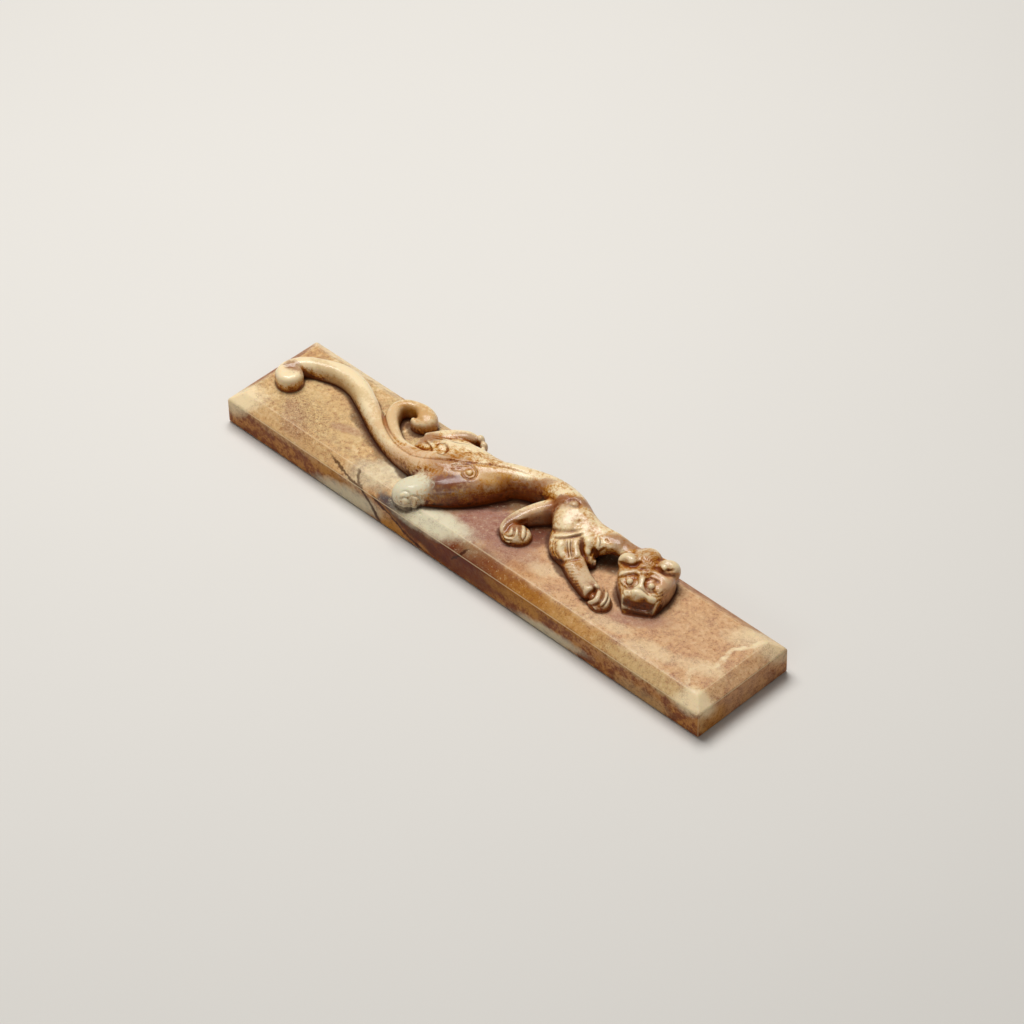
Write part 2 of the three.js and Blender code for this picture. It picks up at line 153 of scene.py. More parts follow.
# Incised work, as seen by the eye on the plane of the bar's top: half width, depth, then the line
INCISED = [
    (0.34, 0.50, [(-66.4, 10.6), (-62.9, 7.5), (-59.6, 5), (-55.9, 2.9), (-51.2, 1.1), (-45.7, 0),
                  (-41.1, 0.3), (-37.3, 2.2), (-34, 4.5), (-31, 6.7), (-27.8, 8.8), (-23.9, 11.5),
                  (-18.9, 15), (-14.4, 17.6), (-9.5, 19.8), (-3.9, 21.3)]),
    (0.28, 0.28, [(-64.7, 10.1), (-61.1, 7.1), (-57.2, 4.5), (-53.7, 2.9), (-48.9, 1.5), (-44.6, 1.1),
                  (-40.8, 1.3), (-36.9, 3.2)]),
    (0.26, 0.26, [(-27.8, 7.8), (-23.9, 10.5), (-19.7, 13.4), (-15.3, 16.1)]),
    (0.9, 0.45, [(-97.9, 3.1), (-99.5, 4.2), (-101.8, 4.2), (-104.3, 3.2), (-105.7, 1.2)]),
    # hind quarters: the far knee, the gap under the shin, the curls and the hair
    (0.42, 0.45, [(-38.1, 8.7), (-38.9, 10), (-38.6, 11.3), (-37.3, 12), (-35.4, 11.3), (-34.1, 9.8),
                  (-34, 8), (-35.3, 7.2), (-37, 7.7)]),
    (0.36, 0.45, [(-43, 7.9), (-41.1, 7.9), (-39, 7.1), (-37.8, 6.2)]),
    (0.46, 0.8, [(-42.1, 11.5), (-39.7, 12.9), (-37.3, 14.4), (-34.6, 15.5), (-32.3, 16.9), (-29.2, 18.2)]),
    (0.34, 0.5, [(-27.5, 5.2), (-27.3, 6.9), (-25.5, 8.9), (-23.7, 10.4), (-21.6, 10.3), (-19.4, 9.2),
                 (-18.1, 7.2), (-18.5, 5.4), (-20.3, 4.8), (-22.2, 5.4), (-23.1, 6.8), (-22.9, 7.9),
                 (-22.1, 8.5)]),
    (0.34, 0.5, [(-27, 4.7), (-25.5, 5.1), (-24.1, 6.1), (-23.3, 7.3)]),
    (0.85, 0.4, [(-26.4, 6), (-25, 7.2), (-23.6, 8.6), (-22.4, 9.4)]),
    (0.32, 0.4, [(-22.6, 6.9), (-21.1, 5.9), (-19.6, 6.3), (-19.6, 7.9), (-20.8, 9), (-22.1, 9.1)]),
    (0.25, 0.14, [(-32.3, 16), (-29.4, 17), (-26.4, 16.8), (-22.8, 15.6)]),
    (0.25, 0.14, [(-31.9, 14.7), (-28.8, 15.5), (-25.6, 15.1), (-22.8, 13.9)]),
    (0.25, 0.14, [(-30.7, 17.3), (-27.9, 17.8), (-24.9, 17.2), (-21.8, 16)]),
    # near hind paw
    (0.30, 0.45, [(-30.2, -15.7), (-30.2, -14.1), (-28.7, -13.6), (-27, -14.4), (-25.9, -15.7)]),
    (0.30, 0.45, [(-28.3, -18), (-27.8, -16.5), (-26.7, -16.1), (-24.9, -16.6), (-23.6, -18.3),
                  (-23.6, -20)]),
    (0.30, 0.5, [(-25.4, -15.4), (-23.6, -17.4), (-21.3, -19.2)]),
    (0.30, 0.45, [(-26.7, -13.8), (-25.2, -13.3), (-23.5, -13.3), (-21.8, -14.5), (-20, -16.6)]),
    (0.28, 0.4, [(-23.5, -14.1), (-21.8, -15.6), (-19.9, -17.9)]),
    (0.28, 0.4, [(-26.7, -18.9), (-25.3, -20), (-23.5, -20.6), (-21.7, -20.5)]),
    # rear arm and its paw
    (0.7, 0.6, [(7.9, -4), (6.9, -1.7), (7.1, 0.3), (8.6, 1.5), (9.6, 3.8)]),
    (0.32, 0.5, [(8.5, -1.2), (10.1, -2.6), (11.3, -4.1), (11.6, -6.1)]),
    (0.32, 0.5, [(9.5, 0.9), (11.1, -1), (13.1, -3), (15.2, -4.4)]),
    (0.32, 0.4, [(10.9, 2.2), (13.1, 0.3), (14.9, -2), (15.6, -4.4)]),
    (0.28, 0.4, [(8.3, -6.7), (10.7, -7.6), (12.9, -6.6)]),
    (0.28, 0.4, [(8.6, -6.1), (10.5, -6.1), (11.5, -5)]),
    (0.28, 0.3, [(11.2, -8.7), (13.3, -8.2), (14.3, -7)]),
    # shoulder, arm bands, tuft and wrist
    (0.34, 0.42, [(13.2, 19), (12.8, 20.6), (13.7, 22.1), (15.6, 22.4), (16.8, 21.5), (16.6, 19.8),
                  (15.1, 18.9), (13.2, 19)]),
    (0.5, 0.25, [(11.7, 13.3), (11.4, 15.6), (11.8, 17.5), (13.3, 18.9)]),
    (0.24, 0.2, [(12.8, 12.8), (12.6, 14.9)]),
    (0.5, 0.4, [(18.6, 6.2), (20.4, 7.4), (22.5, 9), (24.3, 11), (25.6, 13.4)]),
    (0.36, 0.5, [(21.4, 3.8), (23.4, 5.2), (25.1, 7.2), (26.5, 9.6), (27.5, 11.8)]),
    (0.26, 0.4, [(22.2, 3), (24.1, 0.8), (26.3, -1.1), (28.9, -2.5), (31.7, -3.2)]),
    (0.26, 0.4, [(23.2, 3.2), (25, 1), (27.1, -0.7), (29.4, -1.6)]),
    (0.34, 0.55, [(25.5, 6.2), (27.6, 4.2), (29.8, 2.3), (31.8, 0.7)]),
    (0.34, 0.55, [(26.8, 7.1), (28.5, 5.1), (30.6, 3.1), (32.6, 1.7)]),
    (0.5, 0.6, [(28.5, 10.6), (30.1, 8.5), (32.5, 6.2), (34.9, 4.5)]),
    (0.5, 0.6, [(31.2, 13.6), (33.5, 11.8), (35.2, 9.4), (36.6, 6.2)]),
    (0.34, 0.45, [(32.6, 14.6), (34.3, 13.3), (35.7, 11.2)]),
    (0.28, 0.3, [(34.5, 15.4), (36.1, 14.7)]),
    (0.55, 0.6, [(29.9, -3.2), (32.1, -2.7), (33.1, -0.5), (34, 1.4), (35, 3.3)]),
    (0.36, 0.4, [(35.7, 10), (37.5, 7), (39.1, 3.9)]),
    (0.36, 0.4, [(37.5, 12.3), (37.4, 9.6), (38.5, 6.4), (40.2, 3)]),
    (0.44, 0.7, [(46.9, -3), (49.1, -4.8), (50.7, -7.8), (49.9, -9.8), (48.2, -10.8)]),
    (0.38, 0.65, [(49.1, -1.5), (51.4, -3.2), (53.3, -5.9), (54, -8.5), (53.3, -10.5)]),
    (0.34, 0.55, [(52, -1.6), (54.2, -3.9), (55.6, -6.6), (55.8, -9)]),
    (0.26, 0.35, [(51.2, -10.9), (53.7, -11.7)]),
    (0.26, 0.35, [(52.7, -10.7), (55.2, -11.3)]),
    (0.26, 0.35, [(54.8, -9.3), (56.8, -9.7)]),
    (0.24, 0.22, [(33.8, -3.1), (34.6, -2.0), (35.4, -0.9)]),
    (0.24, 0.22, [(35.1, -3.9), (36.0, -2.9), (36.8, -1.9)]),
    (0.24, 0.22, [(36.6, -4.7), (37.3, -3.7), (38.1, -2.8)]),
    (0.24, 0.22, [(38.0, -5.4), (38.7, -4.5), (39.4, -3.7)]),
    (0.24, 0.22, [(39.3, -6.1), (40.0, -5.3), (40.6, -4.4)]),
    (0.24, 0.22, [(40.6, -6.8), (41.3, -6.0), (41.9, -5.2)]),
    (0.24, 0.22, [(42.0, -7.5), (42.5, -6.7), (43.1, -6.0)]),
    (0.24, 0.22, [(43.3, -8.1), (43.8, -7.5), (44.3, -6.8)]),
    # ears, hairline and mane
    (0.5, 0.6, [(45.2, 10), (46.8, 10.7), (49.1, 11.6), (50.3, 13.5), (49.9, 15.6)]),
    (0.5, 0.7, [(56.4, 17.6), (58.5, 16.6), (60.5, 16.6), (62.1, 17.7), (63.4, 19.2)]),
    (0.36, 0.6, [(59.1, 18.3), (60, 19), (60.8, 20.1)]),
    (0.26, 0.36, [(48.3, 17.4), (47.5, 18.9), (47.6, 20.7), (48.4, 21.8)]),
    (0.26, 0.36, [(49.5, 16.8), (48.4, 18.7), (48.5, 20.7), (49.6, 22.4)]),
    (0.26, 0.36, [(50.5, 16.5), (49.4, 18.4), (49.3, 20.3), (50.8, 22.4)]),
    (0.26, 0.36, [(51.3, 16.6), (50.3, 18.3), (50.4, 20.2), (51.8, 22.2)]),
    (0.26, 0.36, [(52, 16.9), (51.3, 18.2), (51.3, 19.9), (52.8, 22)]),
    (0.26, 0.36, [(52.8, 17), (52.3, 18.4), (52.4, 19.9), (53.6, 21.5)]),
    (0.26, 0.36, [(53.7, 16.9), (53.3, 18.3), (53.4, 19.8), (53.9, 20.7)]),
    (0.32, 0.35, [(50.3, 13.5), (50.5, 15.3), (52.2, 15.9), (54.3, 16.5)]),
    # face
    (0.29, 0.35, [(52.7, 12.7), (53.5, 13.8), (55.2, 14.1)]),
    (0.29, 0.35, [(54.5, 11), (54.8, 12), (56.2, 12.3)]),
    (0.36, 0.5, [(50.1, 4.7), (50.7, 6.2), (51.6, 8), (52.8, 9.6), (54.6, 10)]),
    (0.29, 0.45, [(51.4, 4.2), (53.4, 3.2), (55.1, 3.4), (56.3, 4.5), (56.9, 6.2), (56, 8.1), (54.4, 9)]),
    (0.24, 0.3, [(52.2, 6.3), (53.2, 5), (55, 4.1)]),
    (0.32, 0.5, [(59.9, 7.5), (58.4, 8.7), (57.7, 10.4), (58.1, 12), (59.8, 12.6), (62.1, 12.2)]),
    (0.29, 0.4, [(59.9, 7.5), (61.6, 6.9), (63.2, 7.6), (64.1, 9.3)]),
    (0.29, 0.3, [(63.8, 6.5), (65.3, 6.8), (66.3, 8.3), (66.1, 11.1)]),
    (0.26, 0.26, [(64, 7.7), (65.2, 8.8), (65.2, 11.6)]),
    (0.29, 0.35, [(67.3, 6.8), (67.2, 4.8), (67.9, 2.9), (68, 0.7)]),
    (0.32, 0.4, [(59.6, -2.9), (62.2, -2.1), (64.8, -1.1), (68, 0.7)]),
    (0.29, 0.35, [(55.1, 2.2), (56, 0.8), (57.6, 0.1)]),
    (0.36, 0.45, [(55.1, 2.7), (56.5, 3.6), (57.8, 5.3), (59.2, 6.2), (61.5, 6.1), (63.4, 5.9)]),
    (0.28, 0.35, [(57.1, 3.3), (58.4, 2.2)]),
    (0.24, 0.3, [(62.5, 3.8), (64.2, 3.8)]),
]

# Raised work, laid out in the same way
RAISED = [
    (0.6, 0.3, [(-42.7, 8.8), (-40.3, 8.4), (-38.1, 7.3), (-35.9, 6.9)]),
    (0.35, 0.2, [(-34.9, 5.5), (-31.8, 7.5), (-28.6, 9.1)]),
    (0.6, 0.4, [(-24.3, -15), (-22.5, -16.7), (-20.7, -18.6)]),
    (0.5, 0.3, [(-24.7, -13.9), (-22.9, -14.2), (-21.6, -15.4)]),
    (0.55, 0.35, [(-25, -20), (-23.4, -20.2), (-22.2, -19.7)]),
    (0.5, 0.35, [(10.2, -4.5), (9.4, -3.2), (8.8, -1.9)]),
    (0.5, 0.4, [(9.6, -1.1), (10.7, -2), (11.9, -3.6)]),
    (0.6, 0.4, [(10.5, 1.1), (12.6, -0.8), (14.8, -3.5)]),
    (0.35, 0.3, [(9.8, -6.9), (11.2, -6.6), (11.9, -5.7)]),
    (0.35, 0.3, [(11.4, -8), (12.9, -7.6)]),
    (0.5, 0.4, [(20.8, 4.7), (22.7, 6), (24.4, 8), (25.6, 10.1), (26.5, 12.4)]),
    (1.1, 0.7, [(24.8, 4.1), (27.1, 1.7), (30, -0.2)]),
    (0.7, 0.55, [(26.4, 6.4), (28.8, 4), (31.8, 1.5)]),
    (1.0, 0.75, [(28.1, 8.2), (30.4, 5.6), (33.3, 3.3)]),
    (1.1, 0.75, [(30.6, 11), (32.7, 9), (34.9, 6.5)]),
    (0.8, 0.6, [(32.4, 13.7), (34.3, 11.9), (35.7, 10)]),
    (0.55, 0.5, [(47.9, -2.7), (49.7, -3.6), (51.4, -5.8), (52.1, -8.4), (50.9, -10.8)]),
    (0.55, 0.5, [(50.8, -1.9), (53.2, -3.5), (54.7, -5.9), (55.1, -8.2)]),
    (0.5, 0.4, [(53.1, -2.9), (55.3, -4.7), (56.5, -7.4)]),
    (0.3, 0.3, [(51.8, -10.9), (54.3, -11.5)]),
    (0.3, 0.3, [(53.2, -10.3), (55.6, -10.9)]),
    (0.95, 0.8, [(58.2, 3.3), (59.3, 4.2), (61.7, 4.5), (63.9, 4.5), (65.5, 4.4)]),
    (0.8, 0.4, [(49.3, 6.7), (50.6, 9.1), (52.1, 10.8), (53.9, 11.3)]),
    (0.8, 0.45, [(55.3, 13.5), (57.2, 14.8), (60.1, 15.1), (63.2, 14.2)]),
    (0.8, 0.35, [(56, 10.5), (57.6, 8.6), (58.9, 6.5)]),
    (0.7, 0.4, [(60.5, -3.6), (63.7, -2.7), (66.5, -1.5), (68.9, 0.2)]),
]

# Bosses (raised) and hollows (sunk, with a minus): x, y as above, radius and height
BOSSES = [
    (-36.5, 9.4, 1.2, 0.7), (-21, 7.6, 1.0, 0.4), (-29, -15.7, 1.0, 0.5), (-26.4, -17.4, 1.1, 0.5),
    (56.9, 1.7, 1.3, 0.6), (64.1, 14.1, 2.6, 0.5), (58.2, 19.2, 2.1, -0.7), (57.9, 18.6, 1.0, 0.8),
    (52.6, 4.4, 0.9, 0.25), (63.6, 10, 1.2, 0.35), (15, 20.7, 0.9, 0.3), (57.1, 1.7, 0.4, -0.6),
    (46.6, 11.4, 1.4, -0.8), (60.6, 12.1, 0.9, -0.5), (7.8, -4.4, 1.0, -0.8), (54.5, -9, 0.7, -0.5),
    (-18.4, -18.1, 0.5, -0.4), (9, -2.1, 0.4, -0.35), (9.9, -1.1, 0.4, -0.35),
]
EYES = [(54.4, 6.1), (60.9, 9.2)]
EYE_BALL = {"radius": 1.15, "lift": 0.1}


def curve_through(points, count):
    """Catmull-Rom curve: between two points a cubic that leaves each along the line of its two neighbours."""
    p = np.asarray(points, float)
    padded = np.vstack([2 * p[0] - p[1], p, 2 * p[-1] - p[-2]])
    t = np.linspace(0, len(p) - 1, count)
    i = np.minimum(t.astype(int), len(p) - 2)
    f = (t - i)[:, None]
    a, b, c, d = (padded[i + k] for k in range(4))
    return b + 0.5 * f * (c - a + f * (2 * a - 5 * b + 4 * c - d + f * (3 * b - a - 3 * c + d)))


def smooth_least(a, b, blend):
    """Lesser of two distances, less a fillet (blend - gap)^2 / (4 blend) where they nearly meet."""
    h = np.maximum(blend - np.abs(a - b), 0) / blend
    return np.minimum(a, b) - h * h * (blend / 4)


def box_mean(values, reach):
    """Mean over a cube of cells, by differences of running sums along each axis in turn."""
    for axis in range(3):
        pad = [(0, 0)] * 3
        pad[axis] = (reach + 1, reach)
        sums = np.cumsum(np.pad(values, pad, mode="edge"), axis=axis, dtype=np.float64)
        count = sums.shape[axis]
        upper = np.take(sums, range(2 * reach + 1, count), axis=axis)
        lower = np.take(sums, range(0, count - 2 * reach - 1), axis=axis)
        values = ((upper - lower) / (2 * reach + 1)).astype(np.float32)
    return values


def sin_cos(degrees):
    return math.sin(math.radians(degrees)), math.cos(math.radians(degrees))


def squared_distance(axes, point):
    """Square of the distance of each point of a grid from one point."""
    return sum((axis - p) ** 2 for axis, p in zip(axes, point))


class Stone:
    """Distances to the surface on a grid of points: below nought inside, above it outside."""

    def __init__(self, sizes):
        self.length, self.width = sizes.length / MM, sizes.width / MM
        self.side, self.run, self.rise = sizes.side / MM, sizes.margin_run / MM, sizes.margin_rise / MM
        self.top = self.side + self.rise
        self.step = sizes.grain / MM
        self.low = np.array([-self.length / 2, -self.width / 2, 0]) - MARGIN
        high = np.array([self.length / 2, self.width / 2, self.top + HEADROOM]) + MARGIN
        self.count = np.ceil((high - self.low) / self.step).astype(int) + 1
        self.field = np.full(self.count, FAR_OFF, np.float32)
        self.ink = np.zeros(self.count, np.float32)

    def window(self, low, high):
        """Slices of the grid between two corners, and the coordinates of its points along each axis."""
        a = np.clip(((low - self.low) / self.step).astype(int), 0, self.count - 1)
        b = np.clip(((high - self.low) / self.step).astype(int) + 2, 1, self.count)
        axes = [(self.low[k] + self.step * np.arange(a[k], b[k])).astype(np.float32) for k in range(3)]
        return tuple(map(slice, a, b)), np.ix_(*axes)

    def window_in(self, place, low, high):
        """A window given as slices of the part of the grid that another window takes, and its coordinates."""
        inner, axes = self.window(low, high)
        return tuple(slice(max(i.start - p.start, 0), i.stop - p.start) for i, p in zip(inner, place)), axes

    def read(self, points, values=None, step=None):
        """Values of a grid at points: the mean of the eight about each, weighted by nearness."""
        values = self.field if values is None else values
        place = (points - self.low) / (step or self.step)
        i = np.clip(place.astype(int), 0, np.array(values.shape) - 2)
        f = np.clip(place - i, 0, 1)
        total = np.zeros(len(points))
        for corner in np.ndindex(2, 2, 2):
            weight = np.prod(np.where(corner, f, 1 - f), axis=1)
            total += weight * values[tuple((i + corner).T)]
        return total

    def join(self, place, part, blend):
        self.field[place] = smooth_least(self.field[place], part, blend)

    def limb(self, stations, blend, square=2.4, cap=0.9, trim=None):
        """A superellipse |u/w|^n + |v/h|^n = 1 carried along a curve, with w and h read off the stations,
        and trimmed by a plane through a point where one is given."""
        rows = [(s[0], s[1], s[2], s[3], s[4] if len(s) > 4 else -SUNK * s[2]) for s in stations]
        rows = [(x, y, self.top + (high + low) / 2, half, (high - low) / 2) for x, y, high, half, low in rows]
        length = np.linalg.norm(np.diff(np.array(rows)[:, :3], axis=0), axis=1).sum()
        path = curve_through(rows, max(8, int(length / 0.8)))
        reach = path[:, 3:].max() + 2
        place, axes = self.window(path[:, :3].min(0) - reach, path[:, :3].max(0) + reach)
        part = np.full_like(self.field[place], FAR_OFF)
        for a, b in zip(path[:-1], path[1:]):
            self.link(part, place, a, b, square, cap)
        if trim:
            point, normal = trim
            plane = sum((axis - p) * n for axis, p, n in zip(axes, point, normal))
            part = -smooth_least(-part, -plane, 0.5)
        self.join(place, part, blend)

    def link(self, part, place, a, b, square, cap):
        """One short length of a limb, taken into the limb's own field where it is the nearest."""
        pad = max(a[3:].max(), b[3:].max()) + 2
        inner, (x, y, z) = self.window_in(place, np.minimum(a, b)[:3] - pad, np.maximum(a, b)[:3] + pad)
        span = b[:3] - a[:3]
        run = np.linalg.norm(span)
        ahead = span / run
        aside = np.array([ahead[1], -ahead[0], 0]) / np.hypot(*ahead[:2])
        above = np.cross(aside, ahead)
        x, y, z = x - a[0], y - a[1], z - a[2]
        along = x * ahead[0] + y * ahead[1] + z * ahead[2]
        share = np.clip(along / run, 0, 1)
        over = along - share * run
        u = x * aside[0] + y * aside[1]
        v = x * above[0] + y * above[1] + z * above[2]
        half, tall = (a[k] + (b[k] - a[k]) * share for k in (3, 4))
        ways = (u, half), (v, tall), (over, cap * half)
        ratio = sum((np.abs(way) / size) ** square for way, size in ways)
        far = np.sqrt(u * u + v * v + over * over)
        np.minimum(part[inner], far - far / np.maximum(ratio ** (1 / square), 1e-3), out=part[inner])

    def knob(self, cushion, blend, square=2.3):
        """A cushion (u^2/a^2 + v^2/b^2)^(n/2) + |z/c|^n = 1, turned about the upright."""
        x, y, z, a, b, c, turn = cushion
        reach = np.full(3, max(a, b, c) * 1.4 + 1.5)
        centre = np.array([x, y, self.top + z])
        place, (gx, gy, gz) = self.window(centre - reach, centre + reach)
        s, k = sin_cos(turn)
        ox, oy, oz = gx - centre[0], gy - centre[1], gz - centre[2]
        u, v = ox * k + oy * s, oy * k - ox * s
        ratio = ((u / a) ** 2 + (v / b) ** 2) ** (square / 2) + (np.abs(oz) / c) ** square
        far = np.sqrt(u * u + v * v + oz * oz)
        self.join(place, far - far / np.maximum(ratio ** (1 / square), 1e-3), blend)

    def bar(self, arris):
        """The slab: the greatest of the distances to its faces, eased at the arrises."""
        _, (x, y, z) = self.window(self.low, self.low + self.count * self.step)
        slope = math.hypot(self.run, self.rise)
        out_x, out_y = np.abs(x) - self.length / 2, np.abs(y) - self.width / 2
        part = smooth_least(-out_x, -out_y, arris)
        part = smooth_least(part, self.top - z, arris)
        for out in (out_x, out_y):
            part = smooth_least(part, -(out * self.rise + (z - self.side) * self.run) / slope, arris)
        return -smooth_least(part, z, arris)

    def seen(self, x, y):
        """Points where rays from the eye through points of the top plane first meet the stone."""
        start = np.stack([x, y, np.full(len(x), self.top)], axis=1)
        ray = EYE - start
        ray /= ray[:, 2:]
        heights = np.arange(*RAY_HEIGHTS, -RAY_STEP)
        points = start[:, None] + ray[:, None] * heights[None, :, None]
        values = self.read(points.reshape(-1, 3)).reshape(len(x), -1)
        hit = np.maximum(np.argmax(values < 0, axis=1), 1)
        row = np.arange(len(x))
        before, after = values[row, hit - 1], values[row, hit]
        share = np.clip(before / np.maximum(before - after, 1e-6), 0, 1)
        return start + ray * (heights[hit - 1] - RAY_STEP * share)[:, None]

    def cut(self, points, half, depth, fade=0.25):
        """A line sunk by depth * exp(-(distance / half)^2), or raised where the depth is below nought, fading
        towards its ends. A narrow sunk line also leaves ink."""
        rough = np.asarray(points, float)
        length = np.linalg.norm(np.diff(rough, axis=0), axis=1).sum()
        flat = curve_through(rough, max(6, int(length / (0.7 * self.step))))
        line = self.seen(flat[:, 0], flat[:, 1])
        ends = np.linspace(0, 1, len(line))
        strength = np.sqrt(np.clip(np.minimum(ends, 1 - ends) / (fade / 2), 0, 1))
        reach = half * 1.9 + self.step
        place, _ = self.window(line.min(0) - reach, line.max(0) + reach)
        best = np.zeros_like(self.field[place])
        for point, strong in zip(line, strength):
            inner, axes = self.window_in(place, point - reach, point + reach)
            near = squared_distance(axes, point) / (half * half)
            np.maximum(best[inner], strong * np.exp(-near), out=best[inner])
        self.field[place] += depth * best
        if depth > 0 and half < INKED:
            np.maximum(self.ink[place], np.minimum(1, 1.1 * depth) * best, out=self.ink[place])

    def boss(self, x, y, radius, height):
        """A swelling of height * exp(-(distance / radius)^2), or a hollow where the height is minus."""
        point = self.seen(np.array([x]), np.array([y]))[0]
        place, axes = self.window(point - 2 * radius, point + 2 * radius)
        self.field[place] -= height * np.exp(-squared_distance(axes, point) / (radius * radius))

    def ball(self, x, y, radius, lift):
        """A ball set in the stone, with its middle lifted off the surface by so much."""
        point = self.seen(np.array([x]), np.array([y]))
        centre = (point + lift * self.slopes(point))[0]
        place, axes = self.window(centre - radius - 1, centre + radius + 1)
        self.join(place, np.sqrt(squared_distance(axes, centre)) - radius, 0.25)

    def skin(self):
        """Surface nets: a vertex in each cell that the surface crosses, at the mean of the crossings on the
        cell's edges, and a quad round each edge of the grid whose two ends lie on opposite sides."""
        inside = self.field < 0
        cells = self.count - 1
        corners = np.zeros(cells, np.uint8)
        for o in np.ndindex(2, 2, 2):
            corners += inside[tuple(slice(k, k + n) for k, n in zip(o, cells))]
        crossed = np.argwhere((corners > 0) & (corners < 8))
        number = np.full(cells, -1, np.int32)
        number[tuple(crossed.T)] = np.arange(len(crossed))
        total, weight = np.zeros((len(crossed), 3)), np.zeros(len(crossed))
        for axis in range(3):
            for o in np.ndindex(*[1 if k == axis else 2 for k in range(3)]):
                end = [v + (k == axis) for k, v in enumerate(o)]
                a, b = (self.field[tuple((crossed + corner).T)] for corner in (o, end))
                cuts = (a < 0) != (b < 0)
                offset = np.tile(np.array(o, float), (len(crossed), 1))
                offset[:, axis] += a / np.where(cuts, a - b, 1)
                total[cuts] += offset[cuts]
                weight += cuts
        quads = []
        for axis in range(3):
            first, second = (k for k in range(3) if k != axis)
            near = [slice(0, -1) if k == axis else slice(1, -1) for k in range(3)]
            far = [slice(1, None) if k == axis else slice(1, -1) for k in range(3)]
            a, b = inside[tuple(near)], inside[tuple(far)]
            edges = np.argwhere(a != b)
            leaving = a[tuple(edges.T)]
            edges[:, [first, second]] += 1
            ring = []
            for back in ((0, 0), (1, 0), (1, 1), (0, 1)):
                cell = edges.copy()
                cell[:, [first, second]] -= back
                ring.append(number[tuple(cell.T)])
            quad = np.stack(ring, axis=1)
            turned = leaving == (axis == 1)
            quad[turned] = quad[turned][:, ::-1]
            quads.append(quad)
        return self.low + self.step * (crossed + total / weight[:, None]), np.concatenate(quads)

    def slopes(self, points):
        """Unit normals at points: differences of the field either way along each axis."""
        shift = self.step * np.eye(3)
        normal = np.stack([self.read(points + s) - self.read(points - s) for s in shift], axis=1)
        return normal / np.linalg.norm(normal, axis=1, keepdims=True)

    def fullness(self, points, reach):
        """How the surface swells or sinks within a reach: the mean of the clipped field about each point."""
        coarse = np.clip(self.field[::2, ::2, ::2], -reach, reach)
        cells = max(1, round(reach / (2 * self.step)))
        return self.read(points, box_mean(box_mean(coarse, cells), cells), 2 * self.step) / reach


def on_head(ahead, aside):
    """A point of the head from its place along and across the line that it looks along."""
    s, k = sin_cos(HEAD["turn"])
    return HEAD["x"] + ahead * k - aside * s, HEAD["y"] + ahead * s + aside * k


def head_limb(stone, stations, blend, square=2.4, cap=0.9, trim=None):
    stone.limb([(*on_head(*station[:2]), *station[2:]) for station in stations], blend, square, cap, trim)


def tail_scroll():
    """Stations of the tail's scroll: its radius falls from far to near by an exponential of the angle."""
    angles = np.linspace(SCROLL["start"], SCROLL["end"], 9)
    share = np.exp((SCROLL["end"] - angles) / SCROLL["close"])
    radii, turns = SCROLL["near"] + (SCROLL["far"] - SCROLL["near"]) * share, np.radians(angles)
    places = zip(SCROLL["x"] + radii * np.cos(turns), SCROLL["y"] + radii * np.sin(turns))
    return [(x, y, SCROLL["crown"], SCROLL["half"]) for x, y in places]


def carve_tail_and_back(stone):
    """The tail's scroll and the back as one limb, the drum inside the scroll, then the fork of the tail."""
    stone.limb(tail_scroll() + BACK, 0.3)
    stone.knob(SCROLL_DRUM, 0.8, 4.5)
    stone.limb(FORK, 0.5, 3, 0.5)


def carve_legs(stone):
    """Haunches, shins, arms and paws, each joined to what it grows from with a fillet."""
    stone.limb(NEAR_HAUNCH, 1.6, cap=0.6)
    stone.knob(HIND_PAW, 1.2)
    stone.limb(FAR_HAUNCH, 1.4, 2.8, 0.5)
    stone.limb(FAR_FLANK, 0.8, cap=0.5)
    stone.limb(FAR_SHIN, 0.4, 3, 0.6)
    for toe in FAR_TOES:
        stone.knob(toe, 0.15)
    stone.limb(REAR_ARM, 0.8, 3, 0.5)
    stone.knob(REAR_FIST, 0.6)
    stone.limb(FORE_ARM, 1.6, cap=0.5)
    stone.limb(CHEST, 1.4, cap=0.5)
    stone.limb(SIDE_LOCK, 0.8, cap=0.5)
    stone.limb(WRIST, 0.4, 3.4, 0.4)
    stone.limb(TUFT, 0.6, cap=0.3)
    stone.knob(FORE_PAW, 0.5)


def carve_head(stone):
    """Skull with a leaning muzzle, the nose, the ears and the mane; the rest of the face is incised."""
    s, k = sin_cos(HEAD["turn"])
    up, out = sin_cos(MUZZLE["lean"])
    lip = (*on_head(MUZZLE["ahead"], 0), stone.top + MUZZLE["height"])
    head_limb(stone, SKULL, 1.0, 4, 0.3, (lip, (out * k, out * s, up)))
    stone.knob((*on_head(*NOSE["middle"]), *NOSE["cushion"], HEAD["turn"] + NOSE["turn"]), 0.8)
    head_limb(stone, NOSE_RIDGE, 1.2)
    for ear in EARS:
        stone.knob(ear, 0.5)
    head_limb(stone, MANE, 0.8, cap=0.5)


def carve(sizes):
    """The whole stone: the animal, the bar let in below it, then the raised and the incised work."""
    stone = Stone(sizes)
    carve_tail_and_back(stone)
    carve_legs(stone)
    carve_head(stone)
    stone.field = box_mean(box_mean(stone.field, 1), 1)
    stone.field = smooth_least(stone.field, stone.bar(sizes.arris / MM), 0.35).astype(np.float32)
    for half, height, points in RAISED:
        stone.cut(points, half, -sizes.relief * height)
    for x, y in EYES:
        stone.ball(x, y, EYE_BALL["radius"], EYE_BALL["lift"])
    for x, y, radius, height in BOSSES:
        stone.boss(x, y, radius, height)
    for half, depth, points in INCISED:
        stone.cut(points, half, sizes.relief * depth)
    return stone


